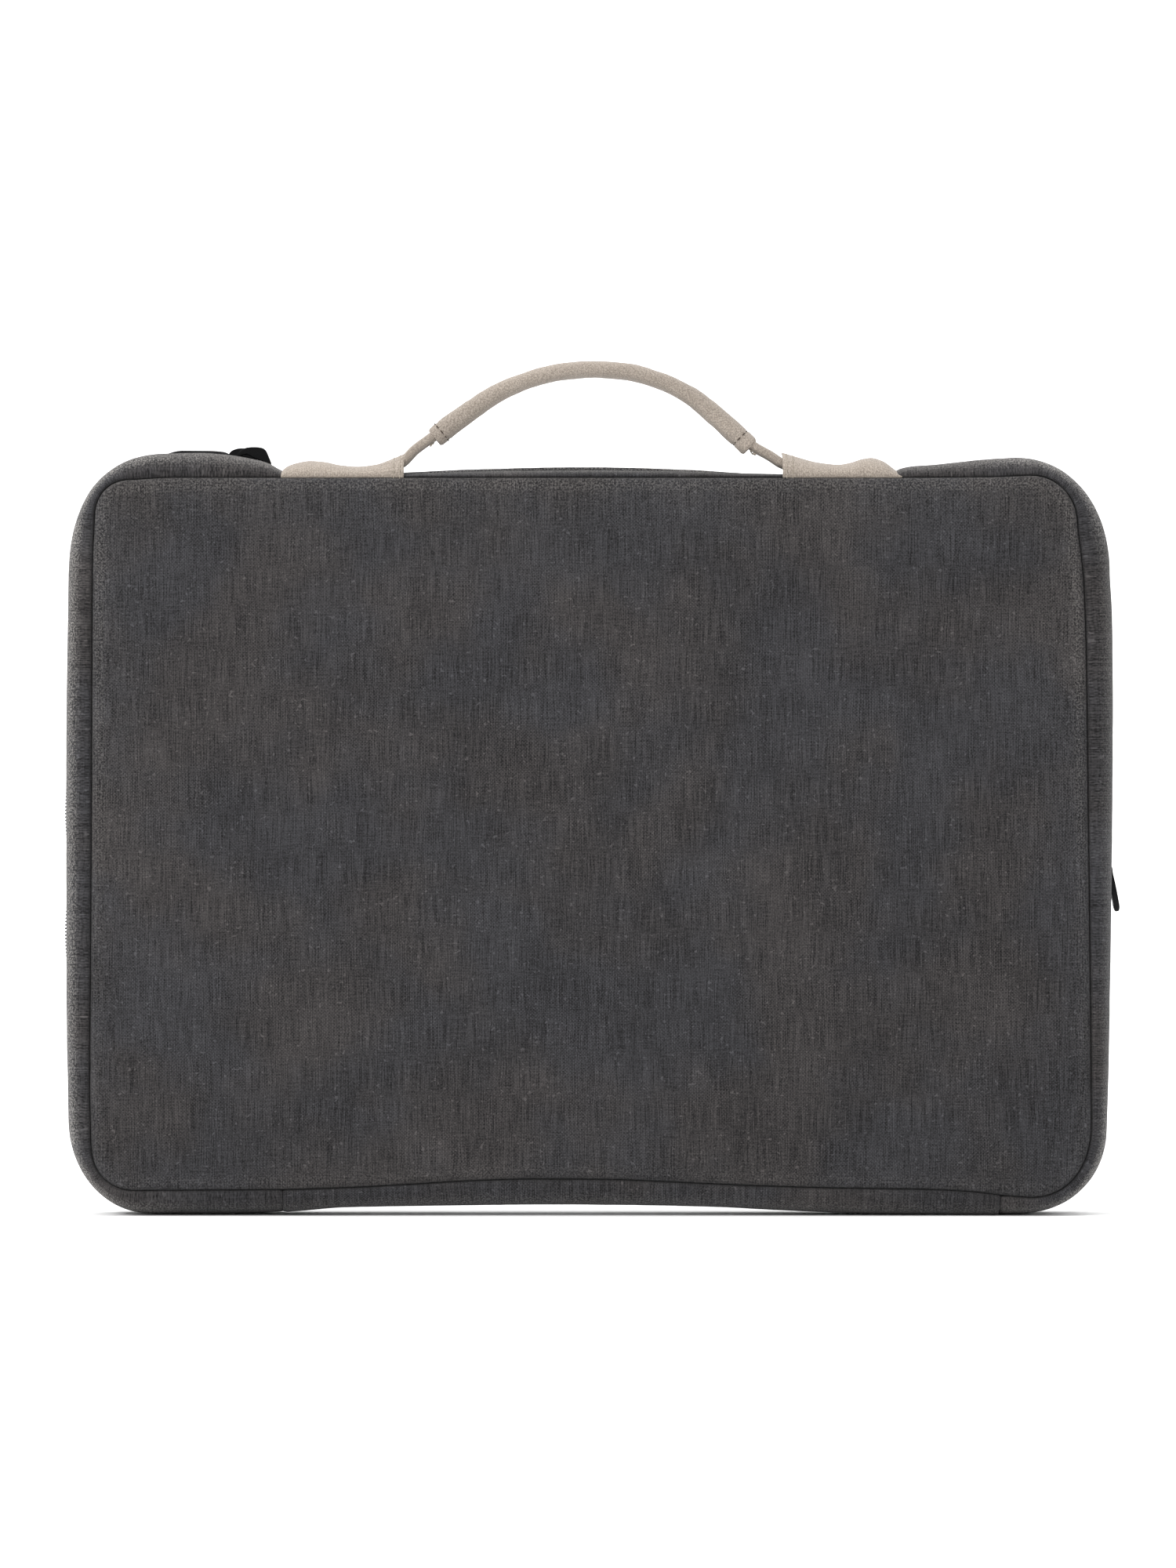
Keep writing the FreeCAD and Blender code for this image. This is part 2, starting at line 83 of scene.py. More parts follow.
# ---- Small tools ---------------------------------------------------------------------------
def curve_through(*points):
    """A smooth function through (place, value) points that never overshoots, level beyond them."""
    xs, ys = np.array(points, float).T
    rates = np.diff(ys) / np.diff(xs)
    turns = rates[1:] * rates[:-1]
    between = np.where(turns > 0, 2 * turns / np.where(turns > 0, rates[1:] + rates[:-1], 1), 0)
    slopes = np.concatenate([rates[:1], between, rates[-1:]])

    def value(x):
        x = np.clip(np.asarray(x, float), xs[0], xs[-1])
        k = np.clip(np.searchsorted(xs, x) - 1, 0, len(xs) - 2)
        wide = xs[k + 1] - xs[k]
        t = (x - xs[k]) / wide
        rise = ys[k] * (1 + 2 * t) * (1 - t) ** 2 + ys[k + 1] * t * t * (3 - 2 * t)
        lean = slopes[k] * t * (1 - t) ** 2 - slopes[k + 1] * t * t * (1 - t)
        return rise + lean * wide

    return value


def step(x, low, high):
    """0 below low, 1 above high, smooth between."""
    t = np.clip((np.asarray(x, float) - low) / (high - low), 0, 1)
    return t * t * (3 - 2 * t)


def bump(x, middle, half):
    """A smooth hump of height 1 at middle, gone at half away from it."""
    t = np.clip(1 - ((np.asarray(x, float) - middle) / half) ** 2, 0, 1)
    return t * t


def wander(x, z, size, seed):
    """Smooth noise from -1 to 1 over a plane, with features about size across."""
    at = np.broadcast_arrays(np.asarray(x, float), np.asarray(z, float))
    flat = [noise.noise((a / size, b / size, seed)) for a, b in zip(at[0].ravel(), at[1].ravel())]
    return np.array(flat).reshape(at[0].shape)


def running(points):
    """The running length at each point of a line."""
    return np.concatenate([[0], np.cumsum(np.linalg.norm(np.diff(points, axis=0), axis=1))])


def unit(rows):
    """Each row at length 1."""
    return rows / np.linalg.norm(rows, axis=1)[:, None]


def turns(count):
    """Angles right round, evenly spread."""
    return np.linspace(0, 2 * math.pi, count + 1)[:-1]


def make_object(name, points, faces, material, cloth=None):
    """A mesh object from points in millimetres. cloth is (u, v, wear_and_light) for each point: the last
    part is rubbing, and on the charcoal strips and panels also painted light and shade.
    """
    mesh = bpy.data.meshes.new(name)
    mesh.from_pydata((np.asarray(points, float) * MM).tolist(), [], faces)
    mesh.validate()
    mesh.materials.append(material)
    if cloth is not None:
        attribute = mesh.attributes.new("cloth", "FLOAT_VECTOR", "POINT")
        attribute.data.foreach_set("vector", np.asarray(cloth, np.float32).ravel())
    mesh.polygons.foreach_set("use_smooth", np.ones(len(mesh.polygons), bool))
    piece = bpy.data.objects.new(name, mesh)
    bpy.context.scene.collection.objects.link(piece)
    return piece


def grid_faces(rows, columns, closed_rows=False, closed_columns=False, start=0):
    """Quads over a grid of points stored row by row."""
    faces = []
    for i in range(rows if closed_rows else rows - 1):
        for j in range(columns if closed_columns else columns - 1):
            k = (i + 1) % rows
            m = (j + 1) % columns
            corners = (i * columns + j, k * columns + j, k * columns + m, i * columns + m)
            faces.append(tuple(start + c for c in corners))
    return faces


def capped(rows, columns):
    """Quads round a closed strip of points, with a cap at each end."""
    faces = grid_faces(rows, columns, closed_columns=True)
    faces.append(tuple(range(columns - 1, -1, -1)))
    faces.append(tuple((rows - 1) * columns + j for j in range(columns)))
    return faces


def sewn_rims(faces, rim, count):
    """A sheet's faces doubled into front and back, with a wall round the rim."""
    both = faces + [tuple(count + c for c in reversed(face)) for face in faces]
    for a, b in zip(rim.tolist(), np.roll(rim, -1).tolist()):
        both.append((a, b, b + count, a + count))
    return both


def solid(*description):
    """An object made as make_object says, with its normals pointed outwards."""
    piece = make_object(*description)
    mesh = bmesh.new()
    mesh.from_mesh(piece.data)
    bmesh.ops.recalc_face_normals(mesh, faces=mesh.faces)
    mesh.to_mesh(piece.data)
    mesh.free()
    return piece


def swept(name, points, along, across, wear_and_light, material):
    """A closed strip from rows of points; along and across are the cloth's own two directions."""
    rows, columns = points.shape[:2]
    layers = [np.broadcast_to(layer, (rows, columns)) for layer in (along, across, wear_and_light)]
    cloth = np.stack(layers, axis=-1).reshape(-1, 3)
    return solid(name, points.reshape(-1, 3), capped(rows, columns), material, cloth)


def finish_piece(piece, body, slot, *nodes):
    """Ride on a body and stand for CAD nodes; slot is not used."""
    if body:
        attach(piece, body)
    if nodes:
        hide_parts(*nodes)


# ---- Materials -----------------------------------------------------------------------------
class Shader:
    """A material's node tree, with short calls for the nodes that the cloths share."""

    def __init__(self, name, roughness, colour=None):
        self.material = bpy.data.materials.new(name)
        self.material.use_nodes = True
        self.tree = self.material.node_tree
        self.surface = self.tree.nodes["Principled BSDF"]
        self.surface.inputs["Roughness"].default_value = roughness
        if colour:
            self.surface.inputs["Base Color"].default_value = (*colour, 1)

    def put(self, socket, value):
        """Link a socket, or set it if value is a plain number."""
        if isinstance(value, bpy.types.NodeSocket):
            self.tree.links.new(value, socket)
        elif value is not None:
            socket.default_value = value

    def math(self, operation, a, b=None, c=None, clamp=False):
        """A Math node's result."""
        node = self.tree.nodes.new("ShaderNodeMath")
        node.operation = operation
        node.use_clamp = clamp
        for socket, value in zip(node.inputs, (a, b, c)):
            self.put(socket, value)
        return node.outputs[0]

    def remap(self, value, low, high, to_low=0.0, to_high=1.0):
        """value taken from low..high to to_low..to_high, smooth and clamped."""
        node = self.tree.nodes.new("ShaderNodeMapRange")
        node.interpolation_type = "SMOOTHSTEP"
        for key, number in (("Value", value), ("From Min", low), ("From Max", high),
                            ("To Min", to_low), ("To Max", to_high)):
            self.put(node.inputs[key], number)
        return node.outputs[0]

    def split(self, vector):
        """The three parts of a vector."""
        node = self.tree.nodes.new("ShaderNodeSeparateXYZ")
        self.put(node.inputs[0], vector)
        return node.outputs

    def join(self, x, y, z=0.0):
        """A vector from three parts."""
        node = self.tree.nodes.new("ShaderNodeCombineXYZ")
        for socket, value in zip(node.inputs, (x, y, z)):
            self.put(socket, value)
        return node.outputs[0]

    def noise(self, vector, scale=1.0, detail=2.0, roughness=0.5):
        """A noise node's value."""
        node = self.tree.nodes.new("ShaderNodeTexNoise")
        self.put(node.inputs["Vector"], vector)
        self.put(node.inputs["Scale"], scale)
        self.put(node.inputs["Detail"], detail)
        self.put(node.inputs["Roughness"], roughness)
        return node.outputs[0]

    def mix(self, amount, first, second):
        """Two colours mixed."""
        node = self.tree.nodes.new("ShaderNodeMix")
        node.data_type = "RGBA"
        self.put(node.inputs["Factor"], amount)
        for key, value in (("A", first), ("B", second)):
            socket = [i for i in node.inputs if i.name == key and i.type == "RGBA"][0]
            self.put(socket, value if isinstance(value, bpy.types.NodeSocket) else (*value, 1))
        return [o for o in node.outputs if o.type == "RGBA"][0]

    def bumped(self, height, distance, strength):
        """Use a height, in millimetres over distance, as the surface's bump."""
        node = self.tree.nodes.new("ShaderNodeBump")
        node.inputs["Strength"].default_value = strength
        node.inputs["Distance"].default_value = distance * MM
        self.put(node.inputs["Height"], height)
        self.tree.links.new(node.outputs[0], self.surface.inputs["Normal"])


def canvas(name, dark, light, worn_and_lit, thread, streaks=1.0, neps=1.0, fuzz=0.12, lift=0.09, check=1.0,
           cool=None):
    """Plain-weave canvas: threads crossing at the given spacing, streaked and slubbed, and flecked towards
    the rubbed colour by the cloth's third part, which is rubbing and, on the charcoal strips and panels,
    also painted light and shade.

    check is how much the crossings show, and cool a second light colour that comes and goes.
    """
    s = Shader(name, 0.95)
    cloth = s.tree.nodes.new("ShaderNodeAttribute")
    cloth.attribute_name = "cloth"
    u, v, wear_and_light = s.split(cloth.outputs["Vector"])
    sway = s.noise(s.join(u, v), 0.11, 2.0)
    sway_other = s.noise(s.join(v, u, 7.0), 0.11, 2.0)
    u_swayed = s.math("MULTIPLY_ADD", sway, 1.3, u)
    v_swayed = s.math("MULTIPLY_ADD", sway_other, 1.3, v)
    warp = s.math("SINE", s.math("MULTIPLY", u_swayed, math.pi / thread))
    weft = s.math("SINE", s.math("MULTIPLY", v_swayed, math.pi / thread))
    over = s.math("MULTIPLY", warp, weft)
    crossing = s.math("SQRT", s.math("ABSOLUTE", over))
    rib = s.math("ABSOLUTE", warp)

    def drawn_out(across, along, scale_across, scale_along, depth):
        """Noise stretched along one thread direction."""
        fine = s.math("MULTIPLY", across, scale_across)
        long = s.math("MULTIPLY", along, scale_along)
        return s.noise(s.join(fine, long, depth), 1.0, 2.0, 0.6)

    warp_streak = drawn_out(u_swayed, v, 1.9 / thread, 0.07, 0.0)
    broad_streak = drawn_out(u, v, 0.35, 0.03, 9.0)
    weft_streak = drawn_out(v_swayed, u, 1.9 / thread, 0.12, 3.0)
    mottle = s.noise(s.join(u, v, 11.0), 0.028, 4.0, 0.6)
    open_weave = s.remap(s.noise(s.join(u, v, 31.0), 0.05, 2.0, 0.5), 0.42, 0.60)
    grain = s.noise(s.join(u, v, 5.0), 0.8 / thread, 2.0, 0.7)
    nep = s.remap(s.noise(s.join(u, v, 23.0), 0.42 / thread, 1.0, 0.5), 0.68, 0.74, 0.0, neps)

    weave = s.math("MULTIPLY_ADD", open_weave, 0.14 * check, 0.12 * check)
    tone = s.math("MULTIPLY_ADD", s.remap(over, -0.2, 0.8), weave, 0.145 + 0.10 * (1 - check))
    tone = s.math("MULTIPLY_ADD", rib, 0.22, tone)
    for layer, low, high, darker, lighter in (
            (warp_streak, 0.34, 0.66, -0.15 * streaks, 0.15 * streaks),
            (broad_streak, 0.35, 0.65, -0.03 * streaks, 0.03 * streaks),
            (weft_streak, 0.36, 0.64, -0.07 * streaks, 0.07 * streaks),
            (mottle, 0.35, 0.65, -0.05, 0.06),
            (grain, 0.32, 0.68, -0.13, 0.17)):
        tone = s.math("ADD", tone, s.remap(layer, low, high, darker, lighter))
    tone = s.math("MULTIPLY_ADD", nep, 0.55, tone, clamp=True)
    if cool:
        light = s.mix(s.remap(s.noise(s.join(u, v, 47.0), 0.02, 3.0, 0.5), 0.38, 0.62), light, cool)
    colour = s.mix(tone, dark, light)
    fleck = s.math("MULTIPLY_ADD", crossing, 0.16, s.math("MULTIPLY_ADD", grain, 1.3, -0.50))
    # The flecks lighten towards the rubbed colour: real rubbing, and on the charcoal also painted light on
    # the top and left gussets and painted shade, as less rubbing, low on the panels.
    rub_and_light = s.math("MULTIPLY", wear_and_light, s.remap(fleck, 0.18, 0.40, 0.0, 1.3), clamp=True)
    colour = s.mix(rub_and_light, colour, worn_and_lit)
    s.put(s.surface.inputs["Base Color"], colour)
    height = s.math("MULTIPLY_ADD", crossing, 0.7, s.math("MULTIPLY", grain, 0.5))
    s.bumped(height, lift, 0.7)
    s.surface.inputs["Sheen Weight"].default_value = fuzz
    s.surface.inputs["Sheen Roughness"].default_value = 0.6
    s.surface.inputs["Specular IOR Level"].default_value = 0.12
    return s.material


def enamel(name, colour, roughness, coat=0.0):
    """Moulded or enamelled hardware with faint handling marks."""
    s = Shader(name, roughness, colour)
    where = s.tree.nodes.new("ShaderNodeTexCoord").outputs["Object"]
    marks = s.noise(where, 900.0, 3.0, 0.6)
    s.put(s.surface.inputs["Roughness"], s.remap(marks, 0.3, 0.7, roughness * 0.7, roughness * 1.4))
    s.bumped(marks, 0.02, 0.25)
    s.surface.inputs["Specular IOR Level"].default_value = 0.09
    s.surface.inputs["Coat Weight"].default_value = coat
    s.surface.inputs["Coat Roughness"].default_value = 0.08
    return s.material


# Charcoal's third colour is the rubbed colour and also the colour of the painted light on the top and left
# gussets.
CHARCOAL = canvas("charcoal_canvas", (0.0070, 0.0066, 0.0071), (0.0765, 0.0700, 0.0692),
                  (0.27, 0.255, 0.24), 0.58, streaks=1.3, fuzz=0.07, cool=(0.064, 0.0635, 0.0690))
BEIGE = canvas("beige_canvas", (0.135, 0.112, 0.092), (0.430, 0.372, 0.315), (0.52, 0.47, 0.42), 0.50,
               streaks=0.4, neps=0.4, check=0.55)
LINING = canvas("lining_cloth", (0.035, 0.035, 0.037), (0.10, 0.10, 0.105), (0.14, 0.14, 0.14), 0.30,
                streaks=0.4, neps=0.0, fuzz=0.5, lift=0.05)
BINDING = canvas("binding_tape", (0.012, 0.012, 0.013), (0.05, 0.05, 0.052), (0.10, 0.10, 0.10), 0.45,
                 neps=0.0)
TAPE = canvas("zip_tape", (0.004, 0.004, 0.0045), (0.018, 0.018, 0.019), (0.05, 0.05, 0.05), 0.40,
              neps=0.2, fuzz=0.02)
THREAD = canvas("beige_thread", (0.18, 0.15, 0.11), (0.52, 0.46, 0.39), (0.52, 0.48, 0.43), 0.22, neps=0.0)
BROWN_THREAD = canvas("brown_thread", (0.020, 0.014, 0.010), (0.11, 0.080, 0.058), (0.16, 0.12, 0.09), 0.22,
                      neps=0.0)
DARK_THREAD = canvas("charcoal_thread", (0.012, 0.012, 0.013), (0.06, 0.06, 0.062), (0.1, 0.1, 0.1), 0.22,
                     neps=0.0)
COIL = enamel("zip_coil", (0.006, 0.006, 0.0065), 0.32)
METAL = enamel("zip_metal", (0.0022, 0.0022, 0.0026), 0.20, coat=0.06)


# ---- Outlines ------------------------------------------------------------------------------
RUNS = {"left": ("bl", "tl", 1), "top": ("tl", "tr", 0), "right": ("tr", "br", 1),
        "bottom_left": (LEFT_SEAM_X, "bl", 0), "bottom_right": ("br", RIGHT_SEAM_X, 0),
        "bottom": (RIGHT_SEAM_X, LEFT_SEAM_X, 0)}


class Outline:
    """A rounded rectangle with waving edges: bottom and top give z over x, left and right x over z.

    corners gives where each corner's quarter starts and ends, as (x on the level edge, z on the side),
    and squareness how full each corner is (2 is a plain ellipse).
    """

    def __init__(self, corners, squareness, **edges):
        self.corners = corners
        self.edges = edges
        self.powers = {name: 2.0 / amount for name, amount in zip(("bl", "tl", "tr", "br"), squareness)}

    def corner(self, name, f):
        """A point of a corner, f from 0 to 1 in clockwise order."""
        cx, cz = self.corners[name]
        angle = np.clip(f, 0, 1) * math.pi / 2
        first = np.sin(angle) ** self.powers[name]
        last = np.cos(angle) ** self.powers[name]
        side = self.edges["left" if name in ("bl", "tl") else "right"](cz) - cx
        level = self.edges["bottom" if name in ("bl", "br") else "top"](cx) - cz
        if name in ("bl", "tr"):
            return cx + side * first, cz + level * last
        return cx + side * last, cz + level * first

    def point(self, part, f):
        """A point of the outline: part names a run or a corner."""
        if part in self.corners:
            return self.corner(part, f)
        start, stop, axis = RUNS[part]
        ends = [self.corners[e][axis] if e in self.corners else e for e in (start, stop)]
        along = ends[0] + (ends[1] - ends[0]) * f
        across = self.edges.get(part, self.edges["bottom"])(along)
        return (across, along) if axis else (along, across)

    def ring(self):
        """Points right round, half a millimetre apart, clockwise from the bottom's left part."""
        return np.array([self.point(*p) for p in stations(U_PARTS + ("bottom",), 0.5, self)])


U_PARTS = ("bottom_left", "bl", "left", "tl", "top", "tr", "right", "br", "bottom_right")


def stations(parts, spacing, outline):
    """(part, f) places about spacing apart along the parts."""
    places = []
    for part in parts:
        many = np.array([outline.point(part, f) for f in np.linspace(0, 1, 30)])
        count = max(2, int(round(running(many)[-1] / spacing)))
        places += [(part, k / count) for k in range(count)]
    return places + [(parts[-1], 1.0)]


# The seam line, which front and back share, and the widest lines of the front and back strips.
SEAM = Outline(
    {"bl": (-160.0, 26.0), "tl": (-161.0, 245.0), "tr": (155.0, 243.0), "br": (155.0, 33.0)},
    (2.2, 2.2, 2.05, 2.2),
    left=curve_through((26, -175.4), (45, -175.8), (100, -175.4), (200, -175.0), (230, -174.8),
                       (245, -174.1)),
    right=curve_through((33, 176.6), (70, 176.3), (130, 175.6), (200, 174.7), (224, 173.8), (243, 171.7)),
    bottom=curve_through((-160, 9.1), (-108, 9.4), (-85, 10.1), (-64, 11.2), (-42, 12.5), (-20, 13.1),
                         (5, 13.0), (30, 12.0), (58, 10.8), (85, 10.0), (118, 9.5), (134, 8.7), (146, 7.3),
                         (155, 6.6)),
    top=curve_through((-161, 259.0), (-145, 259.8), (0, 259.8), (120, 259.8), (140, 260.0), (155, 260.5)))
FRONT_WIDE = Outline(
    {"bl": (-155.0, 34.0), "tl": (-147.0, 222.0), "tr": (150.0, 226.0), "br": (150.0, 32.0)},
    (2.02, 2.45, 2.14, 2.2),
    left=curve_through((34, -184.2), (80, -184.9), (160, -185.0), (222, -184.2)),
    right=curve_through((32, 182.9), (50, 183.5), (90, 184.2), (135, 184.8), (180, 185.1), (210, 184.8),
                        (226, 184.0)),
    bottom=curve_through((-155, 0.2), (-130, 0.2), (-108, 0.9), (-86, 2.6), (-50, 3.2), (-14, 3.6),
                         (20, 3.3), (45, 2.7), (69, 1.5), (96, 0.5), (130, 0.1), (145, 0.0), (150, 0.1)),
    top=curve_through((-147, 268.9), (-138, 269.0), (-128, 268.4), (-120, 267.1), (-113.5, 265.4),
                      (-109.5, 263.2), (-106, 261.8), (-90, 261.6),
                      (-60, 261.8), (-35, 262.5), (0, 262.9), (35, 262.4), (60, 261.6), (100, 261.0),
                      (106, 261.6), (110, 263.5), (114, 264.3), (122, 264.9), (138, 266.6), (150, 267.4)))
BACK_WIDE = Outline(
    {"bl": (-155.0, 34.0), "tl": (-150.0, 224.0), "tr": (150.0, 226.0), "br": (150.0, 32.0)},
    (1.95, 2.3, 2.12, 2.1),
    left=curve_through((34, -183.4), (80, -184.2), (160, -184.3), (224, -183.4)),
    right=curve_through((32, 182.3), (90, 183.5), (180, 184.2), (226, 182.5)),
    bottom=FRONT_WIDE.edges["bottom"],
    top=curve_through((-150, 267.0), (-135, 266.8), (-120, 264.6), (-105, 261.4), (-75, 262.2),
                      (-42, 263.7), (0, 264.5), (35, 263.6), (66, 261.9), (100, 262.2), (125, 264.6),
                      (150, 266.2)))


def softly(values, window):
    """A running mean along the first axis, with the ends kept."""
    half = window // 2
    padded = np.pad(values, [(half, half)] + [(0, 0)] * (values.ndim - 1), mode="edge")
    total = np.cumsum(np.concatenate([padded[:1] * 0, padded]), axis=0)
    return (total[window:] - total[:-window]) / window


class Path:
    """Stations along a seam: its points, the directions out of it, and how far out the cloth bulges."""

    def __init__(self, seam, wide, parts, spacing):
        self.places = stations(parts, spacing, wide)
        self.seam = np.array([seam.point(*p) for p in self.places])
        ahead = softly(np.gradient(self.seam, axis=0), 5)
        out = np.column_stack([-ahead[:, 1], ahead[:, 0]])
        self.out = unit(softly(unit(out), 9))
        self.bulge = self.reach(wide.ring())
        self.wide = self.seam + self.out * self.bulge[:, None]
        self.along = running(self.wide)
        self.part = np.array([p[0] for p in self.places])

    def reach(self, ring):
        """How far each station's outward ray goes to meet a closed line."""
        ways = np.roll(ring, -1, axis=0) - ring
        found = []
        for place, out in zip(self.seam, self.out):
            gap = ring - place
            cross = out[0] * ways[:, 1] - out[1] * ways[:, 0]
            cross = np.where(np.abs(cross) < 1e-9, 1e-9, cross)
            distance = (gap[:, 0] * ways[:, 1] - gap[:, 1] * ways[:, 0]) / cross
            share = (gap[:, 0] * out[1] - gap[:, 1] * out[0]) / cross
            hits = distance[(share >= -0.01) & (share <= 1.01) & (distance > 0.2)]
            found.append(hits.min())
        return np.array(found)

    def on(self, *parts):
        """1 at the stations on the named parts, 0 elsewhere."""
        return np.isin(self.part, parts) * 1.0

    def at(self, share, extra, y):
        """Points at share of the bulge plus extra millimetres outside the seam."""
        reach = (self.bulge * share + extra)[:, None]
        flat = self.seam + self.out * reach
        return np.column_stack([flat[:, 0], np.broadcast_to(y, len(flat)), flat[:, 1]])


def loft(name, path, profile, material, wear_and_light=None, ripple=0.0, seed=0.0):
    """A closed strip along a path. profile is a list of (share of bulge, extra mm, y mm).

    Where the share is 0 the strip turns into the groove beside the seam, narrower along the top.
    """
    groove = 0.60 - 0.42 * softly(path.on("top"), 21)
    points = np.stack([path.at(a, r * groove if a == 0 else r, y) for a, r, y in profile], axis=1)
    for end in (0, -1):
        middle = points[end].mean(axis=0)
        points[end] += (middle - points[end]) * 0.06
    v = running(points[len(points) // 2])
    if ripple:
        u_grid, v_grid = np.meshgrid(path.along, v, indexing="ij")
        shove = ripple * (wander(u_grid, v_grid, 9.0, seed) + 0.5 * wander(u_grid, v_grid, 3.5, seed + 5))
        points[:, :, 0] += shove * path.out[:, None, 0]
        points[:, :, 2] += shove * path.out[:, None, 1]
    # These amounts are rubbing, and for the charcoal strips also painted light on the top and left.
    worn_and_lit = wear_and_light(path, points) if wear_and_light else 0.0
    return swept(name, points, path.along[:, None], v, worn_and_lit, material)


# ---- Panels --------------------------------------------------------------------------------
def distance_to(outline_points, points):
    """Distance of each (x, z) from a closed outline."""
    best = np.full(len(points), 1e9)
    for a, b in zip(outline_points, np.roll(outline_points, -1, axis=0)):
        way = b - a
        t = np.clip(((points - a) @ way) / max(way @ way, 1e-9), 0, 1)
        best = np.minimum(best, np.linalg.norm(points - (a + t[:, None] * way), axis=1))
    return best


def edge_crowded(count, first, total):
    """Shares from 0 to 1 that start first mm apart at both ends and widen towards the middle."""
    t = np.linspace(0, 1, count + 1)
    even = first * count / total
    return t - (1 - even) * np.sin(2 * math.pi * t) / (2 * math.pi)


def panel_sheet(outline):
    """A grid of (x, z) filling an outline, crowded at the edges."""
    across, upward = 150, 110
    a = edge_crowded(across, 0.5, 350)
    b = edge_crowded(upward, 0.5, 250)

    def side(parts, shares):
        """Points along half a corner, a run and half a corner."""
        spans = np.array([outline.point(part, f)
                          for part, start, stop in parts for f in np.linspace(start, stop, 160)])
        length = running(spans)
        length /= length[-1]
        return np.column_stack([np.interp(shares, length, spans[:, k]) for k in (0, 1)])

    low = side([("bl", 0.5, 0), ("bottom_left", 1, 0), ("bottom", 1, 0), ("bottom_right", 1, 0),
                ("br", 1, 0.5)], a)
    high = side([("tl", 0.5, 1), ("top", 0, 1), ("tr", 0, 0.5)], a)
    left = side([("bl", 0.5, 1), ("left", 0, 1), ("tl", 0, 0.5)], b)
    right = side([("br", 0.5, 0), ("right", 1, 0), ("tr", 1, 0.5)], b)
    a = a[:, None, None]
    b = b[None, :, None]
    grid = (1 - b) * low[:, None] + b * high[:, None] + (1 - a) * left[None] + a * right[None]
    low_ends = (1 - a) * (1 - b) * low[0] + a * (1 - b) * low[-1]
    high_ends = (1 - a) * b * high[0] + a * b * high[-1]
    return grid - low_ends - high_ends


def rim_of(grid):
    """The outermost entries of a grid, in order right round."""
    return np.concatenate([grid[:, 0], grid[-1, 1:], grid[-2::-1, -1], grid[0, -2:0:-1]])


def puffed(grid, name):
    """How far the padding swells the panel's cloth at each grid point, by cloth simulation."""
    rows, columns = grid.shape[:2]
    across, upward = 64, 48
    last_frame = 20
    most_swell = 1.8
    coarse_rows = np.linspace(0, rows - 1, across).round().astype(int)
    coarse_columns = np.linspace(0, columns - 1, upward).round().astype(int)
    x, z = grid[np.ix_(coarse_rows, coarse_columns)].reshape(-1, 2).T
    points = np.column_stack([x, x * 0, z])
    sheet = make_object(name + "_puff", points, grid_faces(across, upward), CHARCOAL)
    pins = sheet.vertex_groups.new(name="pins")
    pins.add(rim_of(np.arange(across * upward).reshape(across, upward)).tolist(), 1.0, "REPLACE")
    settings = sheet.modifiers.new("cloth", "CLOTH").settings
    settings.quality = 6
    settings.mass = 0.4
    settings.tension_stiffness = 40
    settings.compression_stiffness = 40
    settings.shear_stiffness = 20
    settings.bending_stiffness = 8
    settings.use_pressure = True
    settings.uniform_pressure_force = 4.0
    settings.effector_weights.gravity = 0
    settings.vertex_group_mass = "pins"
    scene = bpy.context.scene
    scene.frame_start = 1
    scene.frame_end = last_frame
    for number in range(1, last_frame + 1):
        scene.frame_set(number)
    solved = sheet.evaluated_get(bpy.context.evaluated_depsgraph_get()).to_mesh()
    depth = np.abs([v.co.y for v in solved.vertices]).reshape(across, upward)
    bpy.data.objects.remove(sheet)
    scene.frame_set(1)
    depth *= most_swell / max(depth.max(), 1e-9)
    wide = np.array([np.interp(np.arange(rows), coarse_rows, column) for column in depth.T]).T
    return np.array([np.interp(np.arange(columns), coarse_columns, row) for row in wide])


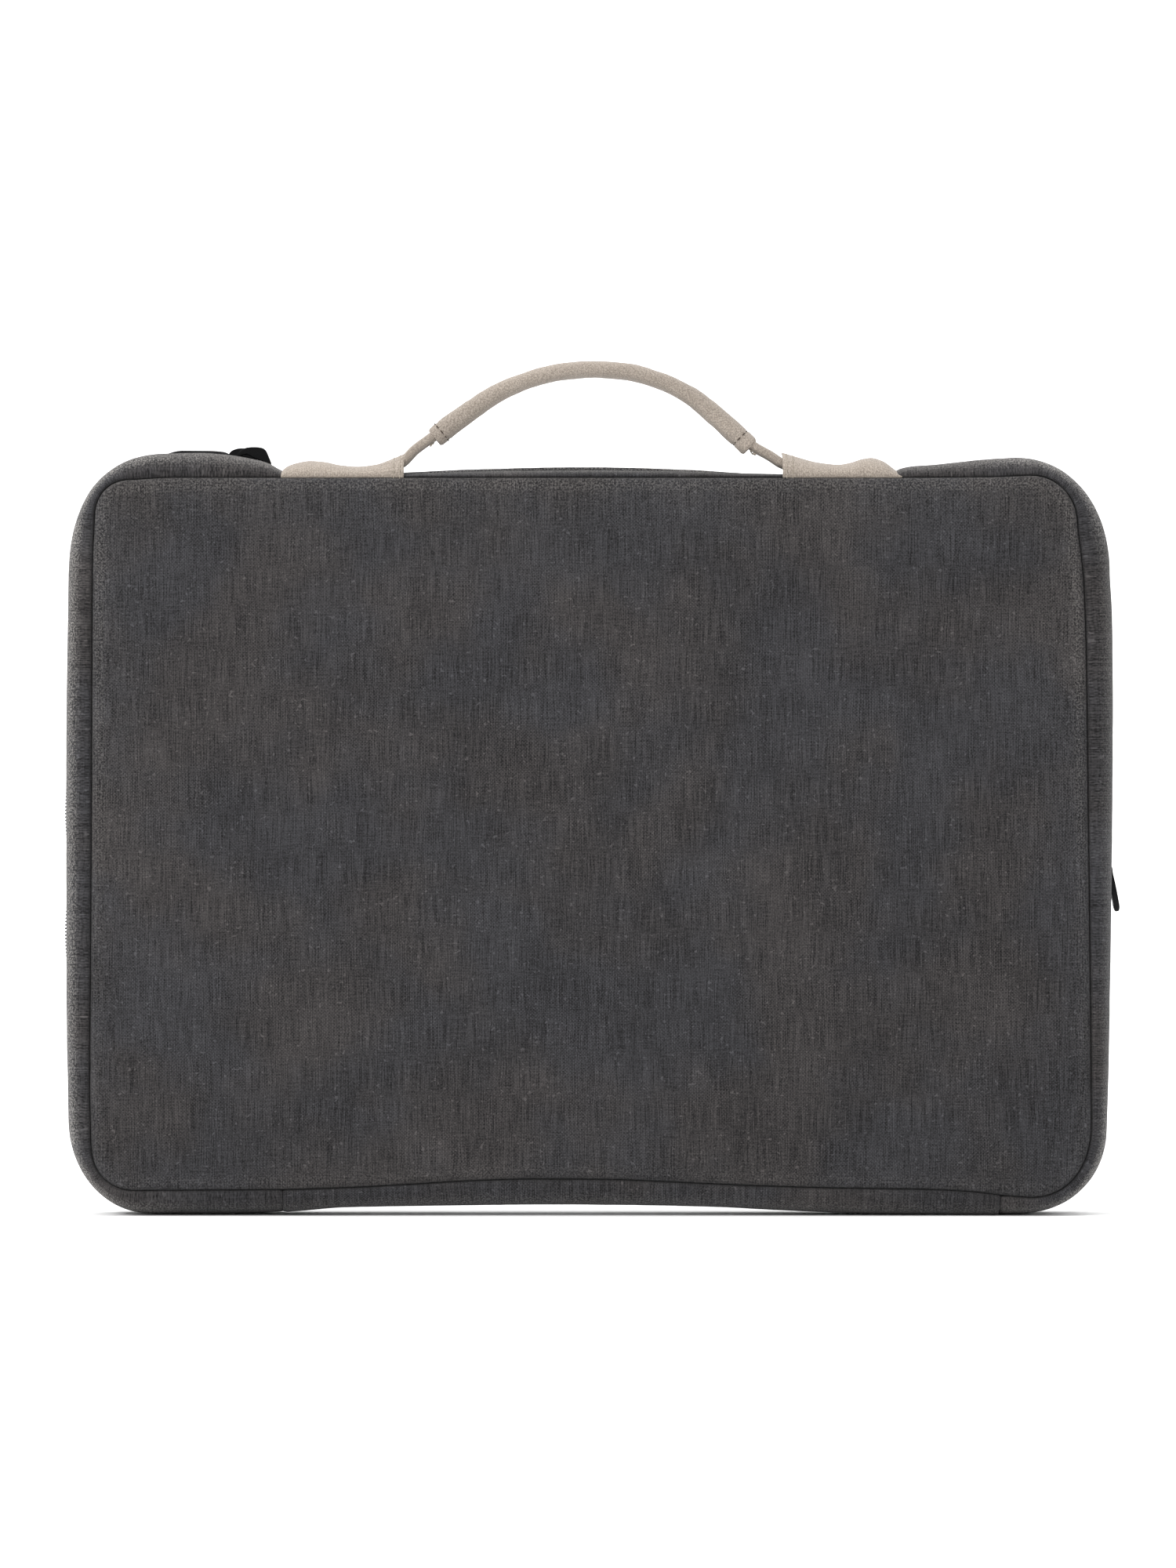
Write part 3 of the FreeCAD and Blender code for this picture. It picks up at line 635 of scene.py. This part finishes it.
def make_panel(side, name, body, seed):
    """The padded panel that faces side * Y, and its lining."""
    grid = panel_sheet(SEAM)
    rows, columns = grid.shape[:2]
    flat = grid.reshape(-1, 2)
    gap = distance_to(rim_of(grid), flat)
    x, z = flat.T
    seam_y, back_y = 13.3, 11.2
    roll_wide, roll_high = 3.0, 2.6
    rise = roll_high * np.sqrt(np.clip(1 - (1 - np.clip(gap / roll_wide, 0, 1)) ** 2, 0, 1))
    crown = puffed(grid, name).ravel()
    wave = 0.45 * wander(x, z, 60.0, seed) + 0.18 * wander(x, z, 17.0, seed + 3)
    pucker = 0.22 * wander(x, z, 5.0, seed + 9) * np.exp(-((gap - 2.5) / 3.0) ** 2)
    lifted_top = 1.2 * step(z, 240, 258) * (1 - step(gap, 0.0, 4.0))
    face = seam_y + rise + crown + wave * step(gap, 1.0, 14.0) + pucker + lifted_top
    # Rubbing along the panel's edges; the factor on z thins it towards the bottom, which is painted shade:
    # the lower panel stays darker where the light from above falls less.
    edge_wear_and_painted_shade = (0.10 * bump(gap, 2.8, 3.0) + 0.09 * np.exp(-gap / 9.0)) * (0.35 + 0.65 * step(z, 60, 240))
    count = rows * columns
    faces = sewn_rims(grid_faces(rows, columns), rim_of(np.arange(count).reshape(rows, columns)), count)

    def two_layers(piece_name, outer_y, inner_y, outer_wear_and_shade, material):
        """The sheet's two faces at their distances from the middle, sewn at the rim."""
        points = [np.column_stack([x, side * y + x * 0, z]) for y in (outer_y, inner_y)]
        cloth = [np.column_stack([x, z, wear_and_light + x * 0]) for wear_and_light in (outer_wear_and_shade, 0.0)]
        return solid(piece_name, np.vstack(points), faces, material, np.vstack(cloth))

    piece = two_layers(name + "_panel_cloth", face, back_y, edge_wear_and_painted_shade, CHARCOAL)
    finish_piece(piece, body, "charcoal_canvas", name + "_panel", name + "_padding")
    lining_y = back_y - 0.35 + 0.2 * wander(x, z, 40.0, seed + 20)
    lining = two_layers(name + "_lining_cloth", lining_y, back_y - 0.02, 0.0, LINING)
    finish_piece(lining, body, "lining", name + "_lining")


# ---- Gusset strips -------------------------------------------------------------------------
SPACING = 1.3
FRONT_PATH = Path(SEAM, FRONT_WIDE, U_PARTS, SPACING)
BACK_PATH = Path(SEAM, BACK_WIDE, U_PARTS, SPACING)


def strip_wear_and_painted_light(path, points):
    """Rubbed towards the widest line, most at the corners; the extra along the top and the left side is
    painted light, where the light from the upper left falls.
    """
    everywhere, at_corners, painted_light_on_top, painted_light_on_left = 0.16, 0.85, 0.22, 0.42
    corner = softly(path.on("bl", "tl", "tr", "br"), 25)
    patchy = 0.5 + 0.5 * wander(path.along, path.along * 0, 26.0, 4.0)
    amount = everywhere + at_corners * corner * (0.5 + 0.6 * patchy)
    # Painted light: the top and left strips are lightened where the light from the upper left falls on
    # them.
    amount = amount + painted_light_on_top * path.on("top") + painted_light_on_left * path.on("left")
    share = np.linalg.norm(points[:, :, [0, 2]] - path.seam[:, None, :], axis=2) / path.bulge[:, None]
    return amount[:, None] * step(share, 0.35, 0.95)


def quarter(start_y, depth):
    """A quarter ellipse, flattened towards the face, from the seam out to the widest line."""
    angles = np.radians(np.linspace(14, 90, 14))
    return [(math.sin(t), 0.0, start_y + depth * (1 - math.cos(t)) ** 1.35) for t in angles]


def seam_roll(side):
    """The strip's edge as it turns into the seam's groove."""
    return [(0.0, 0.02, side * 11.6), (0.0, 0.12, side * 12.8), (0.0, 0.40, side * 13.7),
            (0.0, 0.85, side * 14.5), (0.0, 1.4, side * 15.0)]


def make_strip(name, body, path, profile, inside, ripple, seed):
    """A gusset strip from its profile and its lining from another; without a body neither rides on one."""
    strip = loft(name + "_gusset_strip", path, profile, CHARCOAL, strip_wear_and_painted_light, ripple, seed)
    finish_piece(strip, body, "charcoal_canvas", name + "_gusset_cloth", name + "_gusset_padding")
    lining_name = name + ("_gusset_lining_cloth" if body else "_lining_cloth")
    lining = loft(lining_name, path, inside, LINING)
    finish_piece(lining, body, "lining", name + "_gusset_lining")
    return strip, lining


def make_front_strip():
    """The wide strip and its lining."""
    profile = seam_roll(-1) + quarter(SEAM_FRONT, 14.7)
    profile += [(1, -0.5, 0.2), (1, -1.3, 0.5), (1, -2.0, 0.2), (1, -2.3, -0.8), (1, -2.4, -3.5),
                (0.9, -2.9, -6.0), (0.7, -3.0, -8.4), (0.35, -1.8, -10.2)]
    inside = [(1, -2.6, -1.2), (1, -2.9, -3.5), (0.9, -3.4, -6.0), (0.7, -3.5, -8.4), (0.35, -2.3, -10.2),
              (0.0, -0.4, -11.0), (0.0, -0.9, -10.8), (0.35, -2.7, -9.9), (0.7, -3.9, -8.1),
              (0.9, -3.8, -5.8), (1, -3.3, -3.3), (1, -3.0, -1.2)]
    make_strip("front", "front_half", FRONT_PATH, profile, inside, 0.07, 1.0)


def make_back_strip():
    """The narrow strip behind the zip and its lining."""
    profile = seam_roll(1) + quarter(SEAM_BACK, -5.7)
    profile += [(1, -0.5, 9.0), (1, -1.3, 8.7), (1, -2.0, 8.9), (1, -2.3, 9.6),
                (0.85, -2.6, 10.4), (0.45, -1.8, 11.0)]
    inside = [(1, -2.6, 9.9), (0.85, -2.9, 10.6), (0.45, -2.1, 11.1), (0.0, -0.4, 11.1), (0.0, -0.9, 10.8),
              (0.45, -2.5, 10.7), (0.85, -3.3, 10.2), (1, -3.0, 9.6)]
    make_strip("back", "back_half", BACK_PATH, profile, inside, 0.07, 31.0)


def make_bottom():
    """The bottom gusset and its lining, which ride on no body."""
    path = Path(SEAM, FRONT_WIDE, ("bottom",), SPACING)
    half = seam_roll(-1) + quarter(SEAM_FRONT, 9.6)
    middle = [(1, 0.0, y) for y in (-3.4, -1.2, 1.2, 3.4)]
    rear = [(a, r, -y) for a, r, y in reversed(half)]
    inner = [(0.05, -0.3, 10.6), (0.4, -1.2, 9.6), (0.62, -1.3, 7.0), (0.66, -1.4, 0.0), (0.62, -1.3, -7.0),
             (0.4, -1.2, -9.6), (0.05, -0.3, -10.6)]
    top = [(0.05, -0.6, 10.9), (0.38, -1.6, 9.4), (0.58, -1.7, 6.8), (0.62, -1.8, 0.0), (0.58, -1.7, -6.8),
           (0.38, -1.6, -9.4), (0.05, -0.6, -10.9)]
    under = [(a, r + 0.25, y * 1.01) for a, r, y in reversed(top)]
    for piece in make_strip("bottom", None, path, half + middle + rear + inner, top + under, 0.06, 61.0):
        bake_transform(piece)


def make_binding(side, name, body, path):
    """The bound seam allowance that runs round inside a panel."""
    ring = [(0.0, -0.9 + 1.1 * math.cos(t), side * (10.2 + 1.5 * math.sin(t))) for t in turns(12)]
    piece = loft(name + "_binding_tape", path, ring, BINDING, ripple=0.12, seed=90.0)
    finish_piece(piece, body, "binding", name + "_seam_binding")


# ---- Zip -----------------------------------------------------------------------------------
def zip_lift(path):
    """How far the zip stands above its usual depth: two bulges on the left, a dip at the top left."""
    x, z = path.wide.T
    bulges = path.on("left") * (1.5 * bump(z, 142, 22) + 1.6 * bump(z, 99, 22))
    return bulges - path.on("tl", "top") * (1.2 * bump(x, -142, 30))


def make_tape(side, name, body, path, y_in, y_out):
    """Woven tape from beside the teeth to under the strip's edge.

    The back tape's edge turns up and leans forward at the top left.
    """
    low, high = 2.75, 2.3
    rise, lean = 6.3, 1.7
    x = path.wide[:, 0]
    lift = zip_lift(path)
    turned_up = path.on("tl", "top") * step(x, -164, -144) * (1 - step(x, -130, -118)) * (side > 0)
    edge = lift * 0.4 - 0.1 + rise * turned_up
    y_edge = y_out - lean * turned_up
    bend = 0.85 * lift + 0.15 * edge
    y_bend = 0.45 * y_in + 0.55 * y_out
    rows = [path.at(1.0, lift - high, y_in), path.at(1.0, bend - high, y_bend),
            path.at(1.0, edge - high, y_edge), path.at(1.0, edge - low, y_edge),
            path.at(1.0, bend - low, y_bend), path.at(1.0, lift - low, y_in)]
    broad = abs(y_out - y_in)
    v = np.array([0.0, broad / 2, broad, 0.4 + broad, broad / 2, 0.0])
    piece = swept(name + "_tape_cloth", np.stack(rows, axis=1), path.along[:, None], v, 0.1, TAPE)
    finish_piece(piece, body, "zip_tape", name + "_zip_tape")


def resample(points, spacing, offset=0.0):
    """Places every spacing mm along a line: positions, directions and their distance along it."""
    length = running(points)
    at = np.arange(offset + spacing / 2, length[-1] - spacing / 2, spacing)
    places, ahead = [np.column_stack([np.interp(where, length, points[:, k]) for k in range(3)])
                     for where in (at, at + 0.3)]
    return places, unit(ahead - places), at


TOOTH_PITCH = 1.2


def make_coil(side, name, body, path, offset):
    """Coil teeth: each turn is a flattened loop across the tape's edge."""
    line = path.at(1.0, zip_lift(path) - 1.55, ZIP_MIDDLE + side * 1.05)
    places, ways, _ = resample(line, TOOTH_PITCH, offset)
    around, wire = turns(12), turns(6)
    half_across, half_high, wire_r, slant = 1.15, 0.62, 0.30, 0.22
    points, faces = [], []
    for place, way in zip(places, ways):
        across = np.array([0.0, side, 0.0])
        up = np.cross(way, across)
        up /= np.linalg.norm(up)
        if side > 0:
            up = -up
        start = len(points)
        for t in around:
            centre = place + across * half_across * math.cos(t) + up * half_high * math.sin(t)
            centre = centre + way * slant * math.sin(t)
            radial = across * math.cos(t) + up * math.sin(t)
            for w in wire:
                points.append(centre + radial * wire_r * math.cos(w) + way * wire_r * math.sin(w))
        faces += grid_faces(len(around), len(wire), True, True, start)
    piece = solid(name + "_coil_teeth", np.array(points), faces, COIL)
    nodes = [name + "_zip_coil"] + (["zip_end_stops"] if name == "front" else [])
    finish_piece(piece, body, "zip_coil", *nodes)


def stitches(name, line, up, material, body, slot, long=2.3, gap=0.75, thick=0.32, nodes=()):
    """A row of thread stitches along a line; up is the surface's direction at each point."""
    places, ways, at = resample(line, long + gap)
    length = running(line)
    normals = np.column_stack([np.interp(at, length, up[:, k]) for k in range(3)])
    ring, span = turns(6), np.linspace(-1, 1, 7)
    sink = 0.1
    points, faces, cloth = [], [], []
    for place, way, normal in zip(places, ways, normals):
        side = np.cross(way, normal)
        start = len(points)
        for t in span:
            arch = 1 - t * t
            centre = place + way * t * long / 2 + normal * (thick * 0.5 * arch - sink)
            radius = thick * 0.5 * (0.45 + 0.55 * math.sqrt(max(arch, 0)))
            for k in ring:
                points.append(centre + normal * radius * math.sin(k) + side * radius * math.cos(k))
                cloth.append((t * long, k * 0.2, 0.2))
        faces += grid_faces(len(span), len(ring), False, True, start)
        faces.append(tuple(start + j for j in range(len(ring))))
        faces.append(tuple(start + (len(span) - 1) * len(ring) + j for j in reversed(range(len(ring)))))
    finish_piece(solid(name, np.array(points), faces, material, np.array(cloth)), body, slot, *nodes)


def outward(path):
    """Each station's outward direction in space."""
    return path.out[:, [0, 0, 1]] * (1, 0, 1)


def make_zip():
    """Tapes, teeth and the topstitching beside the zip."""
    make_tape(-1, "front", "front_half", FRONT_PATH, ZIP_MIDDLE - 0.35, -3.2)
    make_tape(1, "back", "back_half", BACK_PATH, ZIP_MIDDLE + 0.35, 10.4)
    make_coil(-1, "front", "front_half", FRONT_PATH, 0.0)
    make_coil(1, "back", "back_half", BACK_PATH, TOOTH_PITCH / 2)
    for name, path, sunk, y in (("front", FRONT_PATH, -0.28, -2.9), ("back", BACK_PATH, -0.85, 11.4)):
        stitches(name + "_topstitch", path.at(1.0, sunk, y), outward(path), DARK_THREAD, name + "_half",
                 "charcoal_canvas")


# ---- Sliders -------------------------------------------------------------------------------
def softened(piece, width):
    """Round a piece's edges."""
    modifier = piece.modifiers.new("round", "BEVEL")
    modifier.width = width * MM
    modifier.segments = 3
    modifier.limit_method = "ANGLE"
    modifier.angle_limit = math.radians(30)
    return piece


def prism(outline_points, z0, z1):
    """Points and faces of an outline (u, v) raised from z0 to z1."""
    low = [(u, v, z0) for u, v in outline_points]
    high = [(u, v, z1) for u, v in outline_points]
    count = len(low)
    faces = [tuple(range(count))[::-1], tuple(range(count, 2 * count))]
    for k in range(count):
        m = (k + 1) % count
        faces.append((k, m, m + count, k + count))
    return low + high, faces


def joined(parts):
    """Several (points, faces) as one."""
    points, faces = [], []
    for p, f in parts:
        faces += [tuple(len(points) + c for c in face) for face in f]
        points += list(p)
    return points, faces


def tube(centres, radius):
    """A round tube along centres."""
    centres = np.array(centres, float)
    sides = turns(6)
    points = []
    for centre, way in zip(centres, unit(np.gradient(centres, axis=0))):
        a = np.array([0.0, 1.0, 0.0])
        a -= way * (a @ way)
        a /= np.linalg.norm(a)
        b = np.cross(way, a)
        points += [centre + (a * math.cos(t) + b * math.sin(t)) * radius for t in sides]
    return points, capped(len(centres), len(sides))


def squared(value, power):
    """A sine or cosine with its curve filled out towards a square."""
    return np.sign(value) * np.abs(value) ** power


def slider_outline():
    """A slider's plate: rounded, wider at the head."""
    half, wide, narrow = 5.2, 3.9, 3.1
    points = []
    for t in turns(28):
        u = half * squared(math.cos(t), 0.75)
        width = wide if u > 0 else narrow + (wide - narrow) * (1 + u / half)
        points.append((u, width * squared(math.sin(t), 0.7)))
    return points


def slider_parts(crown_top):
    """A slider about its pivot: u along the zip, v across, w outwards. Plates, post, flange, crown."""
    plate = prism(slider_outline(), -1.85, -1.05)
    low = prism(slider_outline(), -5.4, -4.3)
    post = prism([(1.2, -0.3), (4.4, -0.3), (4.4, 0.3), (1.2, 0.3)], -4.5, -1.5)
    flange = prism([(-3.4, -3.7), (3.2, -3.9), (3.2, -3.2), (-3.4, -3.0)], -2.8, -1.5)
    foot, half_wide = -1.4, 1.15
    dome = [(2.0 + 5.0 * math.cos(t), foot + (crown_top - foot) * math.sin(t) ** 0.5)
            for t in np.linspace(0, math.pi, 25)]
    turned, faces = prism(dome, -half_wide, half_wide)
    crown = ([(u, v, w) for u, w, v in turned], faces)
    return joined([plate, low, post, flange, crown])


def pull_parts(long, arch, depth, sunk):
    """The pull about its pivot, lying along +u: a cast tab with a slot.

    It is arched, deeper towards its free end, and sunk beside the pivot.
    """
    def height(u):
        t = np.clip(u / long, 0, 1)
        return arch * (1 - np.abs(2 * t - 1) ** 3 - 0.8 * step(t, 0.80, 1.0)) - sunk * (1 - 0.5 * t)

    def half_thick(u):
        past = float(np.clip((u - long + rounded) / rounded, 0, 1))
        return 1.05 * math.sqrt(1 - 0.75 * past ** 2)

    def ring(half_long, half_wide):
        return [(middle + half_long * squared(math.cos(t), 0.8), half_wide * squared(math.sin(t), 0.65))
                for t in turns(44)]

    start, rim, rounded = -1.6, 1.3, 1.6
    half = (long - start) / 2
    middle = start + half
    outer = ring(half, 2.75)
    inner = ring(half - rim, 2.75 - rim)
    points, faces = [], []
    for outline_points in (outer, inner):
        points += [(u, v, height(u) - half_thick(u) - depth * step(u, 3.0, 8.0)) for u, v in outline_points]
        points += [(u, v, height(u) + half_thick(u)) for u, v in outline_points]
    n = len(outer)
    for k in range(n):
        m = (k + 1) % n
        faces += [(k, m, n + m, n + k), (2 * n + m, 2 * n + k, 3 * n + k, 3 * n + m),
                  (m, k, 2 * n + k, 2 * n + m), (n + k, n + m, 3 * n + m, 3 * n + k)]
    level = float(height(7.8))
    bar = prism([(7.2, -1.6), (8.4, -1.6), (8.4, 1.6), (7.2, 1.6)], level - 0.6, level + 0.6)
    return joined([(points, faces), bar])


def placed(parts, origin, u, v, w):
    """Stand parts at origin with their axes along u, v and w."""
    points, faces = parts
    turn = np.array([u, v, w], float)
    return np.array(points, float) @ turn + np.array(origin, float), faces


def make_sliders():
    """Both sliders and pulls, about their joints' pivots."""
    tilt = math.radians(8.0)
    hanging = (math.sin(tilt), 0, -math.cos(tilt))
    hanging_out = (math.cos(tilt), 0, math.sin(tilt))
    right, up, down = (1, 0, 0), (0, 0, 1), (0, 0, -1)
    for letter, pivot, along, out, pull_along, pull_out, crown_top, shape in (
            ("a", PIVOT_A, right, up, right, up, 3.6, (12.4, 2.9, 2.6, 0.0)),
            ("b", PIVOT_B, down, right, hanging, hanging_out, -0.3, (13.2, 0.1, 0.0, 1.4))):
        slider, pull = "slider_" + letter, "pull_" + letter
        points, faces = placed(slider_parts(crown_top), pivot, along, (0, 1, 0), out)
        body = solid(slider + "_cast", points, faces, METAL)
        finish_piece(softened(body, 0.18), slider, "zip_metal", slider + "_body")
        points, faces = placed(pull_parts(*shape), pivot, pull_along, (0, 1, 0), pull_out)
        tab = solid(pull + "_tab", points, faces, METAL)
        finish_piece(softened(tab, 0.16), pull, "zip_metal", slider + "_pull")


# ---- Handle --------------------------------------------------------------------------------
GRIP_LINE = [(-54.6, 274.0), (-49.0, 278.6), (-43.0, 282.9), (-34.0, 289.0), (-22.0, 294.3), (-10.0, 297.4),
             (1.0, 298.3), (13.0, 297.5), (26.0, 293.8), (36.0, 288.6), (45.0, 281.4), (51.5, 275.6),
             (56.6, 270.6)]


def spline(points, spacing):
    """A smooth line through points, sampled about every spacing."""
    points = np.array(points, float)
    length = running(points)
    at = np.linspace(0, length[-1], int(length[-1] / spacing) + 1)
    columns = [curve_through(*zip(length, points[:, k]))(at) for k in range(points.shape[1])]
    return np.column_stack(columns)


def ribbon(centres, half_thick, half_wide, squareness):
    """A flattened tube along a line in XZ: points as rows, with its running length and girth."""
    ways = unit(np.gradient(centres, axis=0))
    normals = np.column_stack([-ways[:, 1], ways[:, 0]])
    angles = turns(36)
    rise = squared(np.sin(angles), 2 / squareness)
    wide = squared(np.cos(angles), 2 / squareness)
    thick = np.broadcast_to(half_thick, len(centres))
    broad = np.broadcast_to(half_wide, len(centres))
    points = np.zeros((len(centres), len(angles), 3))
    points[:, :, 0] = centres[:, None, 0] + normals[:, None, 0] * rise * thick[:, None]
    points[:, :, 2] = centres[:, None, 1] + normals[:, None, 1] * rise * thick[:, None]
    points[:, :, 1] = HANDLE_AXIS[1] + wide * broad[:, None]
    return points, running(centres)[:, None], running(points[0])[None, :]


def make_grip():
    """The canvas sleeve sewn round the strap, thicker at its turned ends."""
    centres = spline(GRIP_LINE, 0.8)
    share = np.linspace(-1, 1, len(centres))
    end = np.abs(share)
    half_thick = 2.95 + 0.75 * step(end, 0.3, 0.95) - 0.5 * step(end, 0.985, 1.0)
    half_wide = 6.3 - 0.3 * step(end, 0.985, 1.0)
    half_thick -= 0.45 * bump(share, 0.925, 0.012) + 0.25 * bump(share, -0.94, 0.012)
    points, u, v = ribbon(centres, half_thick, half_wide, 2.6)
    shove = 0.22 * wander(u, v, 7.0, 40.0) + 0.10 * wander(u, v, 2.5, 44.0)
    spoke = points[:, :, [0, 2]] - centres[:, None, :]
    spoke /= np.maximum(np.linalg.norm(spoke, axis=2, keepdims=True), 0.1)
    points[:, :, [0, 2]] += spoke * shove[..., None]
    on_the_bias = ((u + v) / math.sqrt(2), (v - u) / math.sqrt(2))
    grip = swept("grip_canvas", points, *on_the_bias, 0.15, BEIGE)
    finish_piece(grip, "handle", "beige_canvas", "handle_grip_wrap", "handle_core")
    for k, place in enumerate((0.03, 0.962)):
        index = int(place * (len(centres) - 1))
        row = np.vstack([points[index], points[index, :1]])
        normal = unit(row - np.array([centres[index, 0], HANDLE_AXIS[1], centres[index, 1]]))
        nodes = ("grip_stitching",) if k == 0 else ()
        stitches("grip_stitches_%d" % k, row, normal, BROWN_THREAD, "handle", "stitching",
                 1.7, 0.9, 0.5, nodes)


def make_frays():
    """Short loose threads at the grip's cut ends."""
    chance = random.Random(7)
    parts = []
    for x, z, way in ((-54.8, 273.2, -1), (56.8, 270.0, 1)):
        for _ in range(16):
            y = HANDLE_AXIS[1] + chance.uniform(-5.8, 5.8)
            drop = chance.uniform(-2.6, 2.6)
            start = np.array([x - way * 0.6 + drop * 0.55, y, z + 0.4 + way * drop * -0.8])
            reach = np.array([way * chance.uniform(0.6, 1.7), chance.uniform(-0.6, 0.6),
                              chance.uniform(-1.5, 0.3)])
            bend = np.array([0.0, chance.uniform(-0.4, 0.4), chance.uniform(-0.5, 0.5)])
            line = [start + reach * t + bend * math.sin(math.pi * t) for t in np.linspace(0, 1, 6)]
            parts.append(tube(line, chance.uniform(0.10, 0.17)))
    points, faces = joined(parts)
    cloth = np.array(points)[:, [0, 2, 1]] * (1, 1, 0)
    finish_piece(solid("grip_frays", points, faces, THREAD, cloth), "handle", "stitching")


def make_strap():
    """The strap from each anchor into the grip, riding on no body."""
    ends = {"left": [(-73.0, 263.0), (-66.4, 265.2), (-61.6, 269.8), (-57.0, 273.2), (-52.0, 276.8)],
            "right": [(75.0, 263.0), (68.5, 264.8), (63.4, 267.9), (58.4, 270.7), (53.0, 274.6)]}
    for name, line in ends.items():
        centres = spline(line, 0.5)
        strap = swept("strap_" + name, *ribbon(centres, 1.75, 5.6, 3.4), 0.1, BEIGE)
        nodes = ["strap_tail_" + name] + (["handle_strap"] if name == "left" else [])
        finish_piece(strap, None, "beige_canvas", *nodes)
        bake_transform(strap)


ANCHOR_TOPS = {
    "left": curve_through((-108.6, 262.3), (-107.2, 263.9), (-103.5, 265.4), (-98.7, 266.2), (-94, 265.9),
                          (-88, 264.7), (-82, 264.2), (-75.5, 264.9), (-70, 266.8), (-65, 268.9)),
    "right": curve_through((68, 269.2), (74, 267.4), (81, 265.6), (88, 264.9), (92, 265.5), (96.5, 266.9),
                           (99.5, 267.3), (103.5, 266.2), (107.5, 263.3), (110.3, 261.0)),
}


def make_anchor(name):
    """A folded canvas patch over the strap's end, sewn into the seam and under the zip edge."""
    low, high = ANCHORS[name]
    x0, x1 = low[0], high[0]
    xs = np.linspace(x0, x1, int((x1 - x0) / 0.7))
    top = ANCHOR_TOPS[name](xs)
    seam = SEAM.edges["top"](xs) - 0.3
    thick = 0.75
    front_y, deep = SEAM_FRONT - 0.55, 15.0
    angles = np.radians(np.linspace(14, 90, 15))
    rows = []
    for x, z_top, z_seam in zip(xs, top, seam):
        tall = z_top - z_seam
        outer = [(x, -13.4, z_seam - 0.1), (x, -14.6, z_seam + 0.1), (x, -15.5, z_seam + 0.4)]
        outer += [(x, front_y + deep * (1 - math.cos(t)) ** 1.15, z_seam + tall * math.sin(t) ** 0.8)
                  for t in angles]
        fold = [(x, 0.35, z_top - 0.35), (x, 0.2, z_top - thick)]
        inner = [(x, p[1] + thick * 0.75, max(p[2] - thick, z_seam - 0.3)) for p in reversed(outer[2:-2])]
        rows.append(outer + fold + inner)
    points = np.array(rows)
    u = xs[:, None]
    v = running(points[len(points) // 2])[None, :]
    points[:, :, 1] -= 0.14 * wander(u, v, 6.0, 70.0 + x0)
    patch = swept("anchor_patch_" + name, points, u, v, 0.15, BEIGE)
    finish_piece(patch, "front_half", "beige_canvas", "handle_anchor_" + name)
    inner_x, way = (x1, -1) if name == "left" else (x0, 1)
    for k, inset in enumerate((1.4, 3.6)):
        column = int(np.argmin(np.abs(xs - (inner_x + way * inset))))
        line = points[column, 1:16]
        normal = unit(np.gradient(line, axis=0)[:, [0, 2, 1]] * (1, -1, 1))
        nodes = ("anchor_stitching",) if (name, k) == ("left", 0) else ()
        stitches("anchor_stitches_%s_%d" % (name, k), line, normal, THREAD, "front_half", "stitching",
                 1.5, 0.5, 0.4, nodes)


# ---- Stage ---------------------------------------------------------------------------------
def make_stage():
    """A pale floor and backdrop, soft lights and the camera."""
    white = Shader("paper", 0.9, (0.95, 0.95, 0.95)).material
    turn = np.linspace(0, math.pi / 2, 12)
    profile = [(-2.5, 0.0)] + [(1.2 + math.sin(t), 1.0 - math.cos(t)) for t in turn]
    profile += [(2.2, 4.0)]
    points = [(x * 1000, y * 1000, z * 1000) for y, z in profile for x in (-4.0, 4.0)]
    faces = [(2 * k, 2 * k + 1, 2 * k + 3, 2 * k + 2) for k in range(len(profile) - 1)]
    make_object("paper_sweep", points, faces, white)

    world = bpy.data.worlds.new("studio")
    bpy.context.scene.world = world
    world.use_nodes = True
    world.node_tree.nodes["Background"].inputs["Color"].default_value = (1, 1, 1, 1)
    world.node_tree.nodes["Background"].inputs["Strength"].default_value = 1.0
    bpy.context.scene.view_settings.view_transform = "Standard"

    def softbox(name, place, target, size, watts):
        data = bpy.data.lights.new(name, "AREA")
        data.shape = "RECTANGLE"
        data.size, data.size_y = size
        data.energy = watts
        lamp = bpy.data.objects.new(name, data)
        lamp.location = place
        lamp.rotation_euler = (Vector(target) - Vector(place)).to_track_quat("-Z", "Y").to_euler()
        bpy.context.scene.collection.objects.link(lamp)

    softbox("key", (-1.5, -1.0, 1.6), (0, 0, 0.14), (1.1, 0.9), 30)
    softbox("backdrop", (0.0, 0.1, 3.2), (0, 1.6, 0.6), (3.0, 0.8), 70)

    camera_data = bpy.data.cameras.new("camera")
    camera = bpy.data.objects.new("camera", camera_data)
    bpy.context.scene.collection.objects.link(camera)
    distance = 2.6
    frame_height = 0.553
    aim_x, front_y, aim_z = -0.0005, -0.008, 0.152
    camera_data.sensor_fit = "VERTICAL"
    camera_data.sensor_height = 24.0
    camera_data.lens = camera_data.sensor_height * distance / frame_height
    camera_data.clip_end = 50.0
    camera.location = (aim_x, front_y - distance, aim_z)
    camera.rotation_euler = (math.pi / 2, 0, 0)
    bpy.context.scene.camera = camera


make_stage()
make_panel(-1, "front", "front_half", 2.0)
make_panel(1, "back", "back_half", 52.0)
make_front_strip()
make_back_strip()
make_bottom()
make_binding(-1, "front", "front_half", FRONT_PATH)
make_binding(1, "back", "back_half", BACK_PATH)
make_zip()
make_sliders()
make_grip()
make_frays()
make_strap()
for side_name in ("left", "right"):
    make_anchor(side_name)
